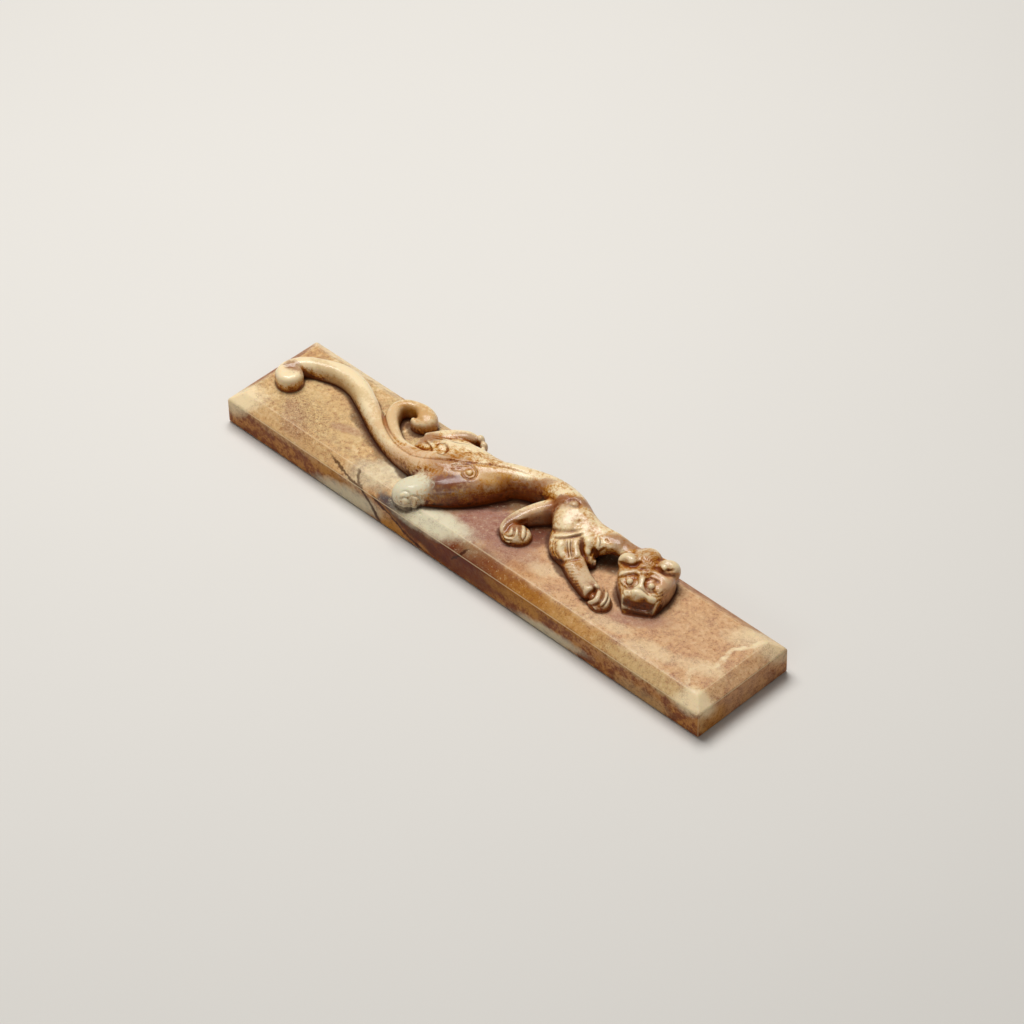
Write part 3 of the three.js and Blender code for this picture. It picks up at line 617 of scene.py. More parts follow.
class Wire:
    """A socket that takes part in Python sums; each sum adds a Math node to its tree."""

    def __init__(self, paint, socket):
        self.paint, self.socket = paint, socket

    def __add__(self, other):
        return self.paint.math("ADD", self, other)

    def __radd__(self, other):
        return self.paint.math("ADD", other, self)

    def __sub__(self, other):
        return self.paint.math("SUBTRACT", self, other)

    def __rsub__(self, other):
        return self.paint.math("SUBTRACT", other, self)

    def __mul__(self, other):
        return self.paint.math("MULTIPLY", self, other)

    def __rmul__(self, other):
        return self.paint.math("MULTIPLY", other, self)


class Paint:
    """The node tree of one material."""

    def __init__(self, name):
        self.material = bpy.data.materials.new(name)
        self.material.use_nodes = True
        self.tree = self.material.node_tree
        self.tree.nodes.clear()

    def node(self, kind, settings=None, values=None, out=0):
        """A node of a kind: its settings first, then the values or links of its sockets. Gives one output."""
        node = self.tree.nodes.new(kind)
        for name, value in (settings or {}).items():
            if name != "stops":
                setattr(node, name, value)
                continue
            for place, _ in value[1:-1]:
                node.color_ramp.elements.new(place)
            for element, (place, colour) in zip(node.color_ramp.elements, value):
                element.position, element.color = place, colour
        for name, value in (values or {}).items():
            if isinstance(value, Wire):
                self.tree.links.new(value.socket, node.inputs[name])
            else:
                node.inputs[name].default_value = value
        return Wire(self, node.outputs[out])

    def math(self, operation, a, b=0.0):
        return self.node("ShaderNodeMath", {"operation": operation}, {0: a, 1: b})

    def vector(self, operation, a, b, out=0):
        return self.node("ShaderNodeVectorMath", {"operation": operation}, {0: a, 1: b}, out)

    def along(self, place, way):
        """How far a place lies along a way: their dot product."""
        return self.vector("DOT_PRODUCT", place, (*way, 0), "Value")

    def clip(self, value, low, high):
        """0 below low, 1 above high and a smooth step between them; falls instead where low is above high."""
        sockets = {"Value": value, "From Min": low, "From Max": high}
        return self.node("ShaderNodeMapRange", {"interpolation_type": "SMOOTHSTEP"}, sockets)

    def mix(self, share, a, b):
        """From colour a to colour b."""
        return self.node("ShaderNodeMix", {"data_type": "RGBA"}, {0: share, 6: a, 7: b}, 2)

    def noise(self, place, scale, detail=3.0, rough=0.55, twist=0.0, out=0):
        sockets = {"Vector": place, "Scale": scale, "Detail": detail, "Roughness": rough, "Distortion": twist}
        return self.node("ShaderNodeTexNoise", None, sockets, out)

    def scaled(self, place, scale):
        return self.node("ShaderNodeVectorMath", {"operation": "SCALE"}, {0: place, "Scale": scale})

    def moved(self, place, by, amount):
        """A place pushed about by a coloured noise, by up to half an amount either way."""
        centred = self.vector("SUBTRACT", by, (0.5, 0.5, 0.5))
        return self.vector("ADD", place, self.scaled(centred, amount))

    def blot(self, place, x, y, half, across, turn=0.0, edge=0.35, rag=0.0):
        """A mask that is 1 inside a turned ellipse seen from above, and falls to 0 over its ragged edge."""
        s, k = sin_cos(turn)
        apart = self.vector("SUBTRACT", place, (x, y, 0))
        u = self.along(apart, (k / half, s / half))
        v = self.along(apart, (-s / across, k / across))
        return self.clip(u * u + v * v + rag, (1 + edge) ** 2, (1 - edge) ** 2)

    def streak(self, place, a, b, half):
        """A thin blot from one point to another."""
        x, y = b[0] - a[0], b[1] - a[1]
        turn = math.degrees(math.atan2(y, x))
        return self.blot(place, (a[0] + b[0]) / 2, (a[1] + b[1]) / 2, math.hypot(x, y) / 2, half, turn, 0.6)

    def beside(self, place, a, b, half, reach):
        """A mask that is 1 within half of the line from a to b, seen from above, and 0 past a reach beyond."""
        length = math.hypot(b[0] - a[0], b[1] - a[1])
        k, s = (b[0] - a[0]) / length, (b[1] - a[1]) / length
        apart = self.vector("SUBTRACT", place, (a[0], a[1], 0))
        along, across = self.along(apart, (k, s)), self.along(apart, (-s, k))
        over = self.math("MAXIMUM", self.math("MAXIMUM", 0 - along, along - length), 0)
        return self.clip(self.math("SQRT", over * over + across * across), half + reach, half)

    def finish(self, shader):
        output = self.tree.nodes.new("ShaderNodeOutputMaterial")
        self.tree.links.new(shader.socket, output.inputs["Surface"])
        return self.material


# Stains of the bar, and a few blots of painted shadow as noted below: colour, strength, then x, y, half
# length, half width and turn of a blot, in millimetres on the top, with the sides folded out flat round it
BAR_STAINS_AND_SHADOWS = [
    ("khaki", 0.7, -78, -6, 20, 9, 0), ("tan", 0.7, -76, -19, 27, 3.4, 2), ("rose", 0.7, 76, 1, 46, 19, 0),
    ("rose", 0.6, 32, -8, 22, 9, 8), ("plum", 0.3, -84, -14, 9, 3, -32), ("plum", 0.45, -67, -6, 5, 2, 20),
    # the umber blot at (-62, -1.4) is painted shade along the tail's near side, partly patina
    ("umber", 0.75, -62, -1.4, 15, 1.7, -24), ("amber", 0.6, -39, -19.6, 7, 1.6, 18),
    ("slate", 0.95, -31.6, -19.4, 5, 1.7, -4), ("plum", 0.85, 3, -7, 16, 7, 18),
    ("plum", 0.8, -6, -1, 9, 4, 20), ("plum", 0.5, 18, -11, 10, 4.4, 10),
    ("oxblood", 0.65, 6, -19.6, 11, 3.2, 8), ("russet", 0.85, 26, -19.6, 14, 2.6, 0),
    ("russet", 0.7, -5, -20.4, 6, 1.9, 12), ("amber", 0.4, 25, -14, 6, 2.6, 10),
    ("honey", 0.6, 52, -19.4, 26, 2.2, 0), ("khaki", 0.8, 90, -19.2, 22, 2.4, 0),
    # the umber blots at (43, 8.4), (15, 5) and (-3, 2.6) and the oxblood blot at (18, 0) are painted shadow:
    # under the neck, behind the rear arm and under the belly
    ("plum", 0.6, 68, -4.6, 9, 3.4, 30), ("umber", 0.85, 43, 8.4, 8, 4, 20),
    ("umber", 0.85, 15, 5, 8, 4, 75), ("oxblood", 0.6, 18, 0, 7, 3.4, 60),
    ("umber", 0.75, -3, 2.6, 14, 2.2, 42), ("umber", 0.6, -57, 11, 4, 4, 0),
    ("russet", 0.8, -108.6, 4, 1.6, 15, 0), ("russet", 0.7, 40, 19.6, 50, 2, 0),
    ("honey", 0.6, -56, -23.4, 9, 2, 0), ("honey", 0.7, -30, -28.4, 7, 2.2, -24),
    ("umber", 0.8, -18, -24.6, 12, 2.6, -14), ("oxblood", 0.8, 4, -25, 17, 4.6, 0),
    ("honey", 0.6, 28, -23.6, 12, 2.2, 0), ("khaki", 0.5, 86, -29, 10, 3, 0),
    ("honey", 0.5, 116, -14, 5, 5, 0),
]
CLEAR_PATCHES_AND_CORNER_HIGHLIGHTS = [
    ("celadon", 0.5, -41, -13.6, 10, 5, 30), ("celadon", 0.3, -36.5, -7, 7, 3.4, 20),
    ("celadon", 0.95, -13, -16.6, 11.5, 4, 8), ("cream", 0.4, 30, -9.3, 5, 2.2, 20),
    ("cream", 0.4, 63.2, -12.6, 6, 2, 12), ("cream", 0.45, 81.4, -12.4, 8, 2.6, 14),
    # the cream patches at (104, 16), (106, -18.2) and (-106, -18.6) are painted highlights on the bevels at
    # the corners
    ("cream", 0.45, 98, -7, 6, 2.6, 20), ("cream", 0.65, 104, 16, 9, 4, 30),
    ("cream", 0.85, 106, -18.2, 6, 3.4, 30), ("cream", 0.9, -106, -18.6, 7, 5, 30),
    ("cream", 0.7, -92, 19.6, 18, 1.6, 0), ("celadon", 0.8, -51, -28.4, 13, 3.4, 10),
    ("celadon", 0.75, 42, -29.8, 14, 2.2, 6),
]
FLECKED = (-82, -11, 13, 7, -20)

# Cracks: half width, strength, then the line; and the line of a pale vein, both laid out as the stains are
CRACKS = [
    (0.4, 0.8, [(-60.6, -18), (-52, -19.8), (-43.4, -21.2)]),
    (0.5, 0.7, [(-49, -16.6), (-46.4, -19.6), (-42.6, -21.4)]),
    (0.7, 0.9, [(-43.5, -21.2), (-39.7, -24.8), (-35.2, -30.6)]),
    (0.55, 0.95, [(-38.3, -21), (-30.8, -23.7), (-21.5, -28.3), (-14.4, -30)]),
    (0.45, 0.9, [(-1, -25), (1.6, -22.4), (4.4, -18.6)]),
]
VEIN = [(99.6, -15), (96.4, -11.2), (97.2, -7.6), (101, -3.6), (99.6, 6), (103, 10.6), (104.8, 17)]

# Stations along the rolled end of the tail, for the painted shade and dirt on the bar beside it
TAIL_END = [(-86, 10.3, 0, 3.4), (-95, 8, 0, 3.4), (-100, 3, 0, 3.4), (-98.6, -1.6, 0, 4)]

# Colours by how brown a place is, from 0 to 1: the skin on the bar's sides, darker also as painted shade, and
# the patina of the animal, which also carries its painted shade
SIDE_SKIN_AND_SHADE = [(0.3, "honey"), (0.46, "amber"), (0.54, "russet"), (0.7, "umber")]
PATINA_AND_SHADE = [(0.04, "cream"), (0.26, "tan"), (0.42, "honey"), (0.62, "russet"), (0.9, "umber")]

# Stains of the animal, and a painted highlight on the nose, on the plan, and the clear hind paw, which holds
# little brown
BEAST_STAINS_AND_NOSE_HIGHLIGHT = [
    ("khaki", 0.7, -81, 6.4, 13, 2, -4), ("tan", 0.7, -55, 5, 10, 6, -40),
    ("honey", 0.7, -50, 13, 8, 3.4, 0), ("rose", 0.6, -34, -4.4, 10, 3, 8),
    ("oxblood", 0.9, -17, -8, 7, 3.2, 36), ("plum", 0.3, -21, -7.6, 6, 1.4, 16),
    ("russet", 0.6, -6, 0.6, 10, 1.8, 42), ("honey", 0.6, -8, 4, 7, 2, 42),
    ("russet", 0.7, 3, 10.6, 8, 1.8, 34), ("celadon", 0.97, -27.8, -15, 6.6, 5, 40),
    ("russet", 0.75, 22, 13, 8, 2, 38), ("russet", 0.7, 11, -2.4, 6, 3.4, 60),
    ("rose", 0.5, 14, 6, 5, 2.4, 45), ("cream", 0.5, 30, 3.4, 5, 5, 40), ("russet", 0.4, 43, -5, 9, 4, -24),
    ("russet", 0.7, 54, -9, 5, 4.4, 0), ("russet", 0.7, 46.4, 12.6, 6, 2.2, 20),
    ("russet", 0.35, 60, 6, 8, 8, 30), ("rose", 0.9, 69.6, 9.6, 3.6, 5.4, -30),
    ("russet", 0.7, -39, 6, 5, 3, 20), ("russet", 0.6, -27, 17.4, 7, 1.8, 35),
    ("russet", 0.7, -98.6, -0.6, 3.4, 2.2, 0), ("russet", 0.45, -21.4, -1.4, 6, 4, 30),
    ("russet", 0.6, 18.4, 9.7, 4, 2.4, 40), ("russet", 0.4, 12, -5, 4, 3.4, 0),
    ("cream", 0.7, -24, 10.6, 8, 3.6, 20), ("cream", 0.5, 24, 8.6, 4, 4, 40),
    # the cream blot at (64.4, 0) is a painted highlight on the nose pad
    ("cream", 0.85, 64.4, 0, 3.4, 1.4, 30),
]
CLEAR_PAW = (-27.6, -15.4, 6, 5.6)


class Jade:
    """Cream stone with honey and russet skin: stains laid out on the plan with a few blots of painted shadow
    and highlight, brown held in cuts, patina and painted shade in hollows, flanks and sides, paler as painted
    highlight and wear and better polished where the carving stands proud. Places and heights are in
    millimetres."""

    def __init__(self, colours, sizes):
        self.colours, self.sizes = colours, sizes
        self.side, self.top = sizes.side / MM, (sizes.side + sizes.margin_rise) / MM
        self.paint = paint = Paint("jade")
        self.place = place = paint.scaled(paint.node("ShaderNodeTexCoord", out="Object"), 1 / MM)
        axes = (paint.node("ShaderNodeSeparateXYZ", None, {0: place}, axis) for axis in "XYZ")
        self.x, self.y, self.z = axes
        read = (paint.node("ShaderNodeAttribute", {"attribute_name": name}, out="Fac") for name in ATTRIBUTES)
        self.proud, self.wide, self.ink, self.up = read
        self.cloud, self.patch = paint.noise(place, 0.06, 4), paint.noise(place, 0.2, 5, 0.65)
        self.mottle, self.pepper = paint.noise(place, 0.75, 5, 0.7), paint.noise(place, 2.3, 3, 0.7)
        self.waver = paint.noise(place, 0.13, 5, 0.62, out="Color")
        self.rag = 1.6 * (self.mottle - 0.5) + 0.3 * (self.pepper - 0.5)
        self.speck = 0.6 * self.mottle + 0.4 * self.pepper

    def ramp(self, value, stops):
        stops = [(place, getattr(self.colours, name)) for place, name in stops]
        return self.paint.node("ShaderNodeValToRGB", {"stops": stops}, {0: value})

    def stained(self, ground, table, where, ragged, edge=0.55):
        """A ground with the blots of a table laid over it in turn."""
        for colour, strength, *shape in table:
            blot = self.paint.blot(where, *shape, edge, ragged)
            ground = self.paint.mix(strength * blot, ground, getattr(self.colours, colour))
        return ground

    def unfolded(self):
        """The place on the plan, with the sides of the bar folded out flat round its top."""
        clip, laid = self.paint.clip, {}
        drop = self.paint.math("MAXIMUM", self.side - self.z, 0)
        for axis, way, size in (("X", self.x, self.sizes.length), ("Y", self.y, self.sizes.width)):
            low, high = size / 2 / MM - 0.7, size / 2 / MM - 0.1
            laid[axis] = way + drop * (clip(way, low, high) - clip(way, -low, -high))
        return self.paint.node("ShaderNodeCombineXYZ", None, laid)

    def ground(self):
        """The bar without its stains: tan, khaki, plum and cream in clouds, and a brown skin on the sides that
        is also painted shade.
        """
        paint, colours = self.paint, self.colours
        clean = paint.clip(self.cloud + 0.4 * (self.patch - 0.5), 0.38, 0.62)
        bar = paint.mix(clean, colours.tan, colours.khaki)
        murk = self.patch + 0.5 * (self.mottle - 0.5)
        deeper = 0.3 + 0.25 * paint.clip(self.x, -60, 0)
        bar = paint.mix(deeper * paint.clip(murk, 0.46, 0.64), bar, colours.plum)
        bar = paint.mix(0.5 * paint.clip(murk, 0.49, 0.34), bar, colours.cream)
        skin = self.ramp(0.5 * self.patch + 0.5 * self.speck, SIDE_SKIN_AND_SHADE)
        # the sides below the margin take the brown skin, which is also painted shade on the sides
        return paint.mix(0.94 * paint.clip(self.z, self.side + 0.3, self.side - 0.3), bar, skin)

    def shade_and_dirt_beside_limbs(self):
        """A mask of the bar close beside the limbs, ragged at its edge: painted contact shade, partly dirt."""
        skull = [(*on_head(ahead, aside), height, half) for ahead, aside, height, half in SKULL[:3]]
        most = 0
        for limb in (TAIL_END, BACK[:13], FORK[2:], NEAR_HAUNCH[:5], REAR_ARM[1:], TUFT, WRIST, skull):
            for a, b in zip(limb[:-1], limb[1:]):
                beside = self.paint.beside(self.place, a, b, (a[3] + b[3]) / 2, 2.4)
                most = self.paint.math("MAXIMUM", most, beside)
        return self.paint.clip(most + 0.4 * self.rag, 0.2, 0.95)

    def arris_highlight_and_wear(self):
        """A mask of the bar's arrises, painted pale as highlight and wear: where two faces are both within a
        few tenths of a millimetre.
        """
        paint, sizes = self.paint, self.sizes
        slope = math.hypot(sizes.margin_run, sizes.margin_rise)
        run, rise = sizes.margin_run / slope, sizes.margin_rise / slope
        ways = (self.x, sizes.length), (self.y, sizes.width)
        sides = [paint.math("ABSOLUTE", way) - size / 2 / MM for way, size in ways]
        margins = [out * rise + (self.z - self.side) * run for out in sides]
        nearness = [paint.clip(depth, -0.4, -0.08) for depth in sides + margins]
        return paint.clip(sum(nearness, 0.75 * paint.clip(self.z - self.top, -0.4, -0.08)), 1.2, 1.9)

    def bar(self):
        """The bar: stains and blots of painted shadow, clear patches and painted highlights at the corners,
        specks and threads, painted shade and dirt beside the limbs, cracks, a vein, and arrises painted pale
        as highlight and wear.
        """
        paint, colours, speck = self.paint, self.colours, self.speck
        laid = self.unfolded()
        folded = paint.moved(laid, self.waver, 6)
        near = paint.moved(laid, paint.noise(self.place, 0.5, 4, 0.65, out="Color"), 2.2)
        bar = self.stained(self.ground(), BAR_STAINS_AND_SHADOWS, folded, 1.6 * self.rag)
        bar = paint.mix(0.6 * paint.clip(speck, 0.49, 0.66), bar, colours.russet)
        upper = paint.clip(self.z, self.side - 0.4, self.side + 0.4)
        bar = paint.mix(0.4 * paint.clip(speck, 0.47, 0.34) * upper, bar, colours.cream)
        # clear patches of stone, and painted highlights on the corner bevels
        bar = self.stained(bar, CLEAR_PATCHES_AND_CORNER_HIGHLIGHTS, folded, self.rag, 0.75)
        flecked = paint.blot(folded, *FLECKED, 0.55, self.rag)
        flecks = paint.math("MAXIMUM", 0.5 * paint.clip(self.patch, 0.46, 0.6), flecked)
        thread = paint.math("ABSOLUTE", paint.noise(self.place, 0.8, 2, 0.6, 1.2) - 0.5)
        bar = paint.mix(0.6 * flecks * paint.clip(thread, 0.05, 0.012), bar, colours.oxblood)
        bar = paint.mix(0.3 * paint.clip(self.pepper, 0.62, 0.76), bar, colours.umber)
        # painted contact shade, partly dirt, on the bar close beside the limbs
        bar = paint.mix(0.75 * self.shade_and_dirt_beside_limbs(), bar, colours.umber)
        for half, strength, line in CRACKS:
            for a, b in zip(line[:-1], line[1:]):
                bar = paint.mix(strength * paint.streak(near, a, b, half), bar, colours.umber)
        broken = paint.clip(self.patch, 0.35, 0.65)
        for a, b in zip(VEIN[:-1], VEIN[1:]):
            bar = paint.mix(broken * paint.streak(near, a, b, 0.8), bar, colours.cream)
        # pale arrises: painted highlight, partly wear
        return paint.mix(0.7 * self.arris_highlight_and_wear(), bar, colours.cream)

    def muzzle_front_stain_and_shade(self):
        """A mask of the blunt front of the muzzle, below the nose, painted dark as stain and shade."""
        paint, z = self.paint, self.z - self.top
        s, k = sin_cos(HEAD["turn"])
        apart = paint.vector("SUBTRACT", self.place, (HEAD["x"], HEAD["y"], 0))
        front, aside = paint.along(apart, (k, s)), paint.math("ABSOLUTE", paint.along(apart, (-s, k)))
        mask = paint.clip(front + 0.6 * self.rag, -1.2, -0.2) * paint.clip(aside, 6.4, 5.6)
        return mask * paint.clip(z, 1, 1.8) * paint.clip(z + 0.5 * self.rag, 5.6, 4.6)

    def beast(self):
        """The animal: cream on the crowns as painted highlight and wear, browner in flanks and folds as patina
        and painted shade, with its own stains and a muzzle front painted dark as stain and shade.
        """
        paint, colours, x = self.paint, self.colours, self.x
        browner = 0.66 + 0.05 * paint.clip(x, 10, 40) + 0.04 * paint.clip(x, 46, 54)
        browner = browner - 0.18 * paint.clip(x, -36, -56)
        grain = (self.patch - 0.5) + 1.5 * (self.mottle - 0.5) + 0.8 * (self.pepper - 0.5)
        # paler on crowns and upward faces, browner in folds, broad hollows and flanks: patina, and painted
        # light from above with painted shade below
        beast = self.ramp(browner + grain - self.proud - 0.6 * self.wide - 0.4 * self.up, PATINA_AND_SHADE)
        beast = self.stained(beast, BEAST_STAINS_AND_NOSE_HIGHLIGHT, paint.moved(self.place, self.waver, 4), 3 * self.rag)
        brown = paint.mix(paint.clip(self.speck, 0.6, 0.4), colours.russet, colours.umber)
        # the front of the muzzle painted dark: stain, and painted shade
        beast = paint.mix(0.9 * self.muzzle_front_stain_and_shade(), beast, brown)
        # crests painted cream: painted highlight, partly wear
        crest_highlight_and_wear = paint.clip(self.proud + 0.3 * (self.speck - 0.5), 0.13, 0.27)
        return paint.mix(0.65 * crest_highlight_and_wear, beast, colours.cream)

    def material(self):
        """The bar and the animal in one, brown held in the cuts, patina and painted shade in the hollows and
        creases, and a polish on the carving.
        """
        paint, colours, z = self.paint, self.colours, self.z - self.top
        stone = paint.mix(paint.clip(z, 0.15, 0.7), self.bar(), self.beast())
        paw = paint.blot(self.place, *CLEAR_PAW)
        # the hollows of the carving and its contact with the bar painted russet: patina, and painted shade
        hollow = paint.clip(self.proud + 0.25 * (self.patch - 0.5), -0.03, -0.26) * paint.clip(z, 0.03, 0.2)
        stone = paint.mix(0.75 * hollow * (1 - 0.8 * paw), stone, colours.russet)
        # held: ink in the cuts, and umber in deep creases and along the contact with the bar as painted shade
        # and dirt; it also roughens them and takes off the coat
        held = paint.math("MAXIMUM", paint.clip(self.ink, 0.15, 0.55), paint.clip(self.proud, -0.2, -0.42))
        held = held * (1 - 0.85 * paw)
        stone = paint.mix(0.75 * held, stone, colours.umber)
        tooth = {"Strength": 0.3, "Distance": 0.0003, "Height": self.mottle + 0.5 * self.pepper}
        shader = paint.node("ShaderNodeBsdfPrincipled", {"subsurface_method": "RANDOM_WALK"}, {
            "Base Color": stone,
            "Roughness": 0.34 + 0.16 * paint.clip(self.mottle, 0.45, 0.7) + 0.15 * held,
            "Normal": paint.node("ShaderNodeBump", None, tooth),
            "IOR": 1.5,
            "Specular IOR Level": 0.12,
            "Subsurface Weight": 0.12,
            "Subsurface Radius": (1.0, 0.5, 0.2),
            "Subsurface Scale": 0.0015,
            "Coat Weight": 0.5 * paint.clip(z, -0.6, 2) * (1 - held),
            "Coat Roughness": 0.14,
        })
        return paint.finish(shader)


def pale_floor(colour):
    """Matt pale card with a faint cloud in it."""
    paint = Paint("pale_floor")
    place = paint.node("ShaderNodeTexCoord", out="Object")
    cloud = paint.noise(place, 3, 4)
    darker = [0.94 * c for c in colour[:3]] + [1]
    sockets = {"Base Color": paint.mix(cloud, colour, darker), "Roughness": 0.7}
    return paint.finish(paint.node("ShaderNodeBsdfPrincipled", None, sockets))


def colour_property(name, description, red, green, blue):
    """A colour given as the eye sees it on a screen, from 0 to 255, kept as light."""
    linear = [((c / 255 + 0.055) / 1.055) ** 2.4 for c in (red, green, blue)]
    return FloatVectorProperty(
        name=name, description=description, default=(*linear, 1), size=4, subtype="COLOR", min=0, max=1)


def length_property(name, description, metres):
    return FloatProperty(name=name, description=description, default=metres, unit="LENGTH")


class StoneSizes(bpy.types.PropertyGroup):
    """Sizes of the bar, and how finely the stone is worked."""

    length: length_property("Length", "End to end", CAD_BOX[1][0] - CAD_BOX[0][0])
    width: length_property("Width", "Across the bar", CAD_BOX[1][1] - CAD_BOX[0][1])
    side: length_property("Side", "Height of the upright sides", 0.0098)
    margin_run: length_property("Margin run", "Sloped margin, seen from above", 0.0046)
    margin_rise: length_property("Margin rise", "Height of the sloped margin", 0.0032)
    arris: length_property("Arris", "Easing of the edges", 0.0006)
    grain: length_property("Grain", "Spacing of the points that the stone is worked on", 0.00025)
    relief: FloatProperty(name="Relief", description="How boldly the fine work is cut", default=1.35, min=0)
    triangles: IntProperty(name="Triangles", description="Most triangles in the skin", default=192000)


class StoneColours(bpy.types.PropertyGroup):
    """Colours of the jade and its stains."""

    cream: colour_property("Cream", "Clear stone", 244, 221, 178)
    celadon: colour_property("Celadon", "Palest stone", 224, 215, 184)
    khaki: colour_property("Khaki", "Clean ground of the bar", 210, 178, 126)
    tan: colour_property("Tan", "Warm ground of the bar", 212, 168, 114)
    amber: colour_property("Amber", "Orange stain", 186, 120, 50)
    honey: colour_property("Honey", "Golden skin", 192, 130, 38)
    rose: colour_property("Rose brown", "Pinkish cloud", 212, 164, 122)
    plum: colour_property("Plum", "Purplish cloud", 158, 112, 100)
    russet: colour_property("Russet", "Iron stain", 136, 64, 12)
    oxblood: colour_property("Oxblood", "Red stain", 98, 30, 8)
    slate: colour_property("Slate", "Grey patch by the hind paw", 84, 76, 80)
    umber: colour_property("Umber", "Stain held in cuts and cracks", 66, 26, 6)


class StageSettings(bpy.types.PropertyGroup):
    """The floor and the light."""

    floor: colour_property("Floor", "Colour of the floor", 226, 222, 215)
    key: FloatProperty(name="Key light", description="Power of the light overhead", default=10, unit="POWER")
    front: FloatProperty(name="Front light", description="Power of the light ahead", default=0.8, unit="POWER")
    room: FloatProperty(name="Room light", description="Strength of the light all round", default=0.15, min=0)


class ScrollWeightSettings(bpy.types.PropertyGroup):
    """All that the add-on keeps in a scene."""

    sizes: PointerProperty(type=StoneSizes)
    colours: PointerProperty(type=StoneColours)
    stage: PointerProperty(type=StageSettings)


def mesh_of(name, points, faces):
    """A mesh from whole arrays of points and of faces that all have the same number of corners."""
    mesh = bpy.data.meshes.new(name)
    mesh.vertices.add(len(points))
    mesh.vertices.foreach_set("co", np.asarray(points, np.float32).ravel())
    mesh.loops.add(faces.size)
    mesh.loops.foreach_set("vertex_index", faces.astype(np.int32).ravel())
    mesh.polygons.add(len(faces))
    mesh.polygons.foreach_set("loop_start", np.arange(0, faces.size, faces.shape[1], dtype=np.int32))
    mesh.update(calc_edges=True)
    return mesh


def thinned(name, mesh, most):
    """A mesh of quads with its flattest edges collapsed until no more than so many triangles are left."""
    rough = bpy.data.objects.new(name + "_rough", mesh)
    bpy.context.scene.collection.objects.link(rough)
    thin = rough.modifiers.new("thin", "DECIMATE")
    thin.ratio = min(1.0, most / (2 * len(mesh.polygons)))
    thin.use_collapse_triangulate = True
    made = bpy.data.meshes.new_from_object(rough.evaluated_get(bpy.context.evaluated_depsgraph_get()))
    bpy.data.objects.remove(rough)
    bpy.data.meshes.remove(mesh)
    return made


class SCROLLWEIGHT_OT_carve(bpy.types.Operator):
    """Carve the bar and the dragon as one skin and finish it as jade"""

    bl_idname = "scroll_weight.carve"
    bl_label = "Carve the weight"

    def execute(self, context):
        settings = context.scene.scroll_weight
        stone = carve(settings.sizes)
        points, quads = stone.skin()
        mesh = thinned("carved_weight", mesh_of("carved_weight", points, quads), settings.sizes.triangles)
        corners = np.empty(len(mesh.vertices) * 3, np.float32)
        mesh.vertices.foreach_get("co", corners)
        corners = corners.reshape(-1, 3).astype(float)
        normals = stone.slopes(corners)
        fullness, broad = (stone.fullness(corners, reach) for reach in FULLNESS_REACHES)
        for name, values in zip(ATTRIBUTES, (fullness, broad, stone.read(corners, stone.ink), normals[:, 2])):
            mesh.attributes.new(name, "FLOAT", "POINT").data.foreach_set("value", values.astype(np.float32))
        mesh.vertices.foreach_set("co", (corners * MM).astype(np.float32).ravel())
        mesh.polygons.foreach_set("use_smooth", np.ones(len(mesh.polygons), bool))
        mesh.update()
        mesh.normals_split_custom_set_from_vertices(normals)
        mesh.name = "carved_weight"
        piece = bpy.data.objects.new("carved_weight", mesh)
        context.scene.collection.objects.link(piece)
        mesh.materials.append(Jade(settings.colours, settings.sizes).material())
        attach(piece, "root")
        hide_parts(NODE)
        return {"FINISHED"}


def area_light(name, place, width, height, power):
    """A soft white light at a place, turned to the weight."""
    lamp = bpy.data.lights.new(name, "AREA")
    lamp.shape, lamp.size, lamp.size_y, lamp.energy = "RECTANGLE", width, height, power
    holder = bpy.data.objects.new(name, lamp)
    holder.location = place
    holder.rotation_euler = (-Vector(place)).to_track_quat("-Z", "Y").to_euler()
    bpy.context.scene.collection.objects.link(holder)


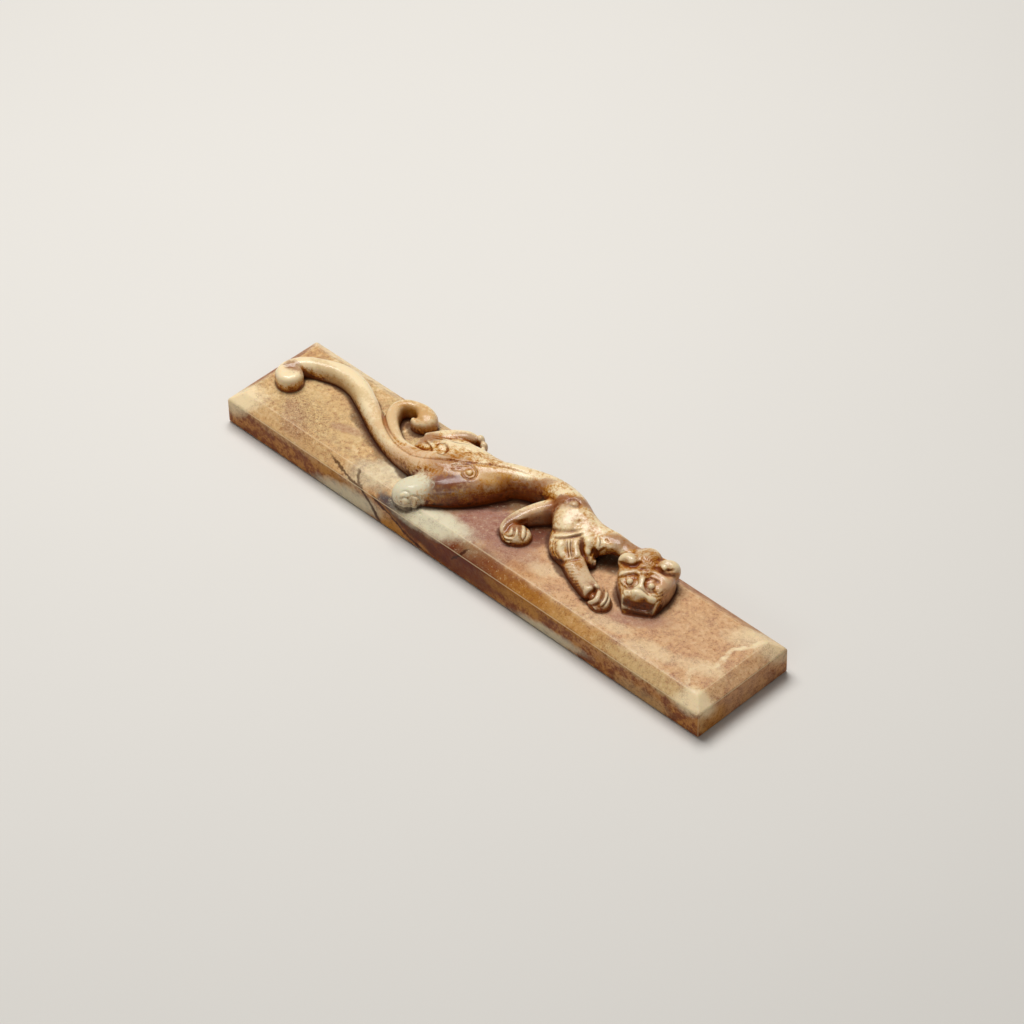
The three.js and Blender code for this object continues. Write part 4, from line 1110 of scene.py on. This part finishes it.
class SCROLLWEIGHT_OT_stage(bpy.types.Operator):
    """Lay the pale floor and set the lights and the camera"""

    bl_idname = "scroll_weight.stage"
    bl_label = "Set the stage"

    def execute(self, context):
        scene, stage = context.scene, context.scene.scroll_weight.stage
        ways = (-1, -1), (1, -1), (1, 1), (-1, 1)
        corners = [(x * FLOOR_REACH, y * FLOOR_REACH, -FLOOR_DROP) for x, y in ways]
        floor = bpy.data.objects.new("floor", mesh_of("floor", corners, np.array([[0, 1, 2, 3]])))
        floor.data.materials.append(pale_floor(stage.floor))
        scene.collection.objects.link(floor)
        for name, (place, width, height) in LIGHTS.items():
            area_light(name, place, width, height, getattr(stage, name))
        scene.world = bpy.data.worlds.new("room")
        scene.world.use_nodes = True
        ground = scene.world.node_tree.nodes["Background"]
        ground.inputs["Color"].default_value = (1, 0.98, 0.95, 1)
        ground.inputs["Strength"].default_value = stage.room
        scene.view_settings.view_transform = "Standard"
        camera = bpy.data.objects.new("camera", bpy.data.cameras.new("camera"))
        camera.data.lens, camera.data.sensor_width, camera.data.clip_end = LENS, SENSOR, CLIP_END
        turn = Vector(LOOK).to_track_quat("-Z", "Y").to_matrix() @ Matrix.Rotation(math.radians(ROLL), 3, "Z")
        camera.matrix_world = Matrix.Translation(Vector(EYE) * MM) @ turn.to_4x4()
        scene.collection.objects.link(camera)
        scene.camera = camera
        return {"FINISHED"}


class SCROLLWEIGHT_PT_panel(bpy.types.Panel):
    """Sizes and colours, and the steps in order"""

    bl_idname = "SCROLLWEIGHT_PT_panel"
    bl_label = "Scroll weight"
    bl_space_type = "VIEW_3D"
    bl_region_type = "UI"
    bl_category = "Scroll weight"

    def draw(self, context):
        settings = context.scene.scroll_weight
        for group in (settings.sizes, settings.colours, settings.stage):
            box = self.layout.box()
            for name in group.__annotations__:
                box.prop(group, name)
        for operator in OPERATORS:
            self.layout.operator(operator.bl_idname)


OPERATORS = (SCROLLWEIGHT_OT_carve, SCROLLWEIGHT_OT_stage)
CLASSES = (StoneSizes, StoneColours, StageSettings, ScrollWeightSettings, *OPERATORS, SCROLLWEIGHT_PT_panel)


def register():
    for each in CLASSES:
        bpy.utils.register_class(each)
    bpy.types.Scene.scroll_weight = PointerProperty(type=ScrollWeightSettings)


def unregister():
    del bpy.types.Scene.scroll_weight
    for each in reversed(CLASSES):
        bpy.utils.unregister_class(each)


def main():
    register()
    bpy.ops.scroll_weight.carve()
    bpy.ops.scroll_weight.stage()


if __name__ == "__main__":
    main()
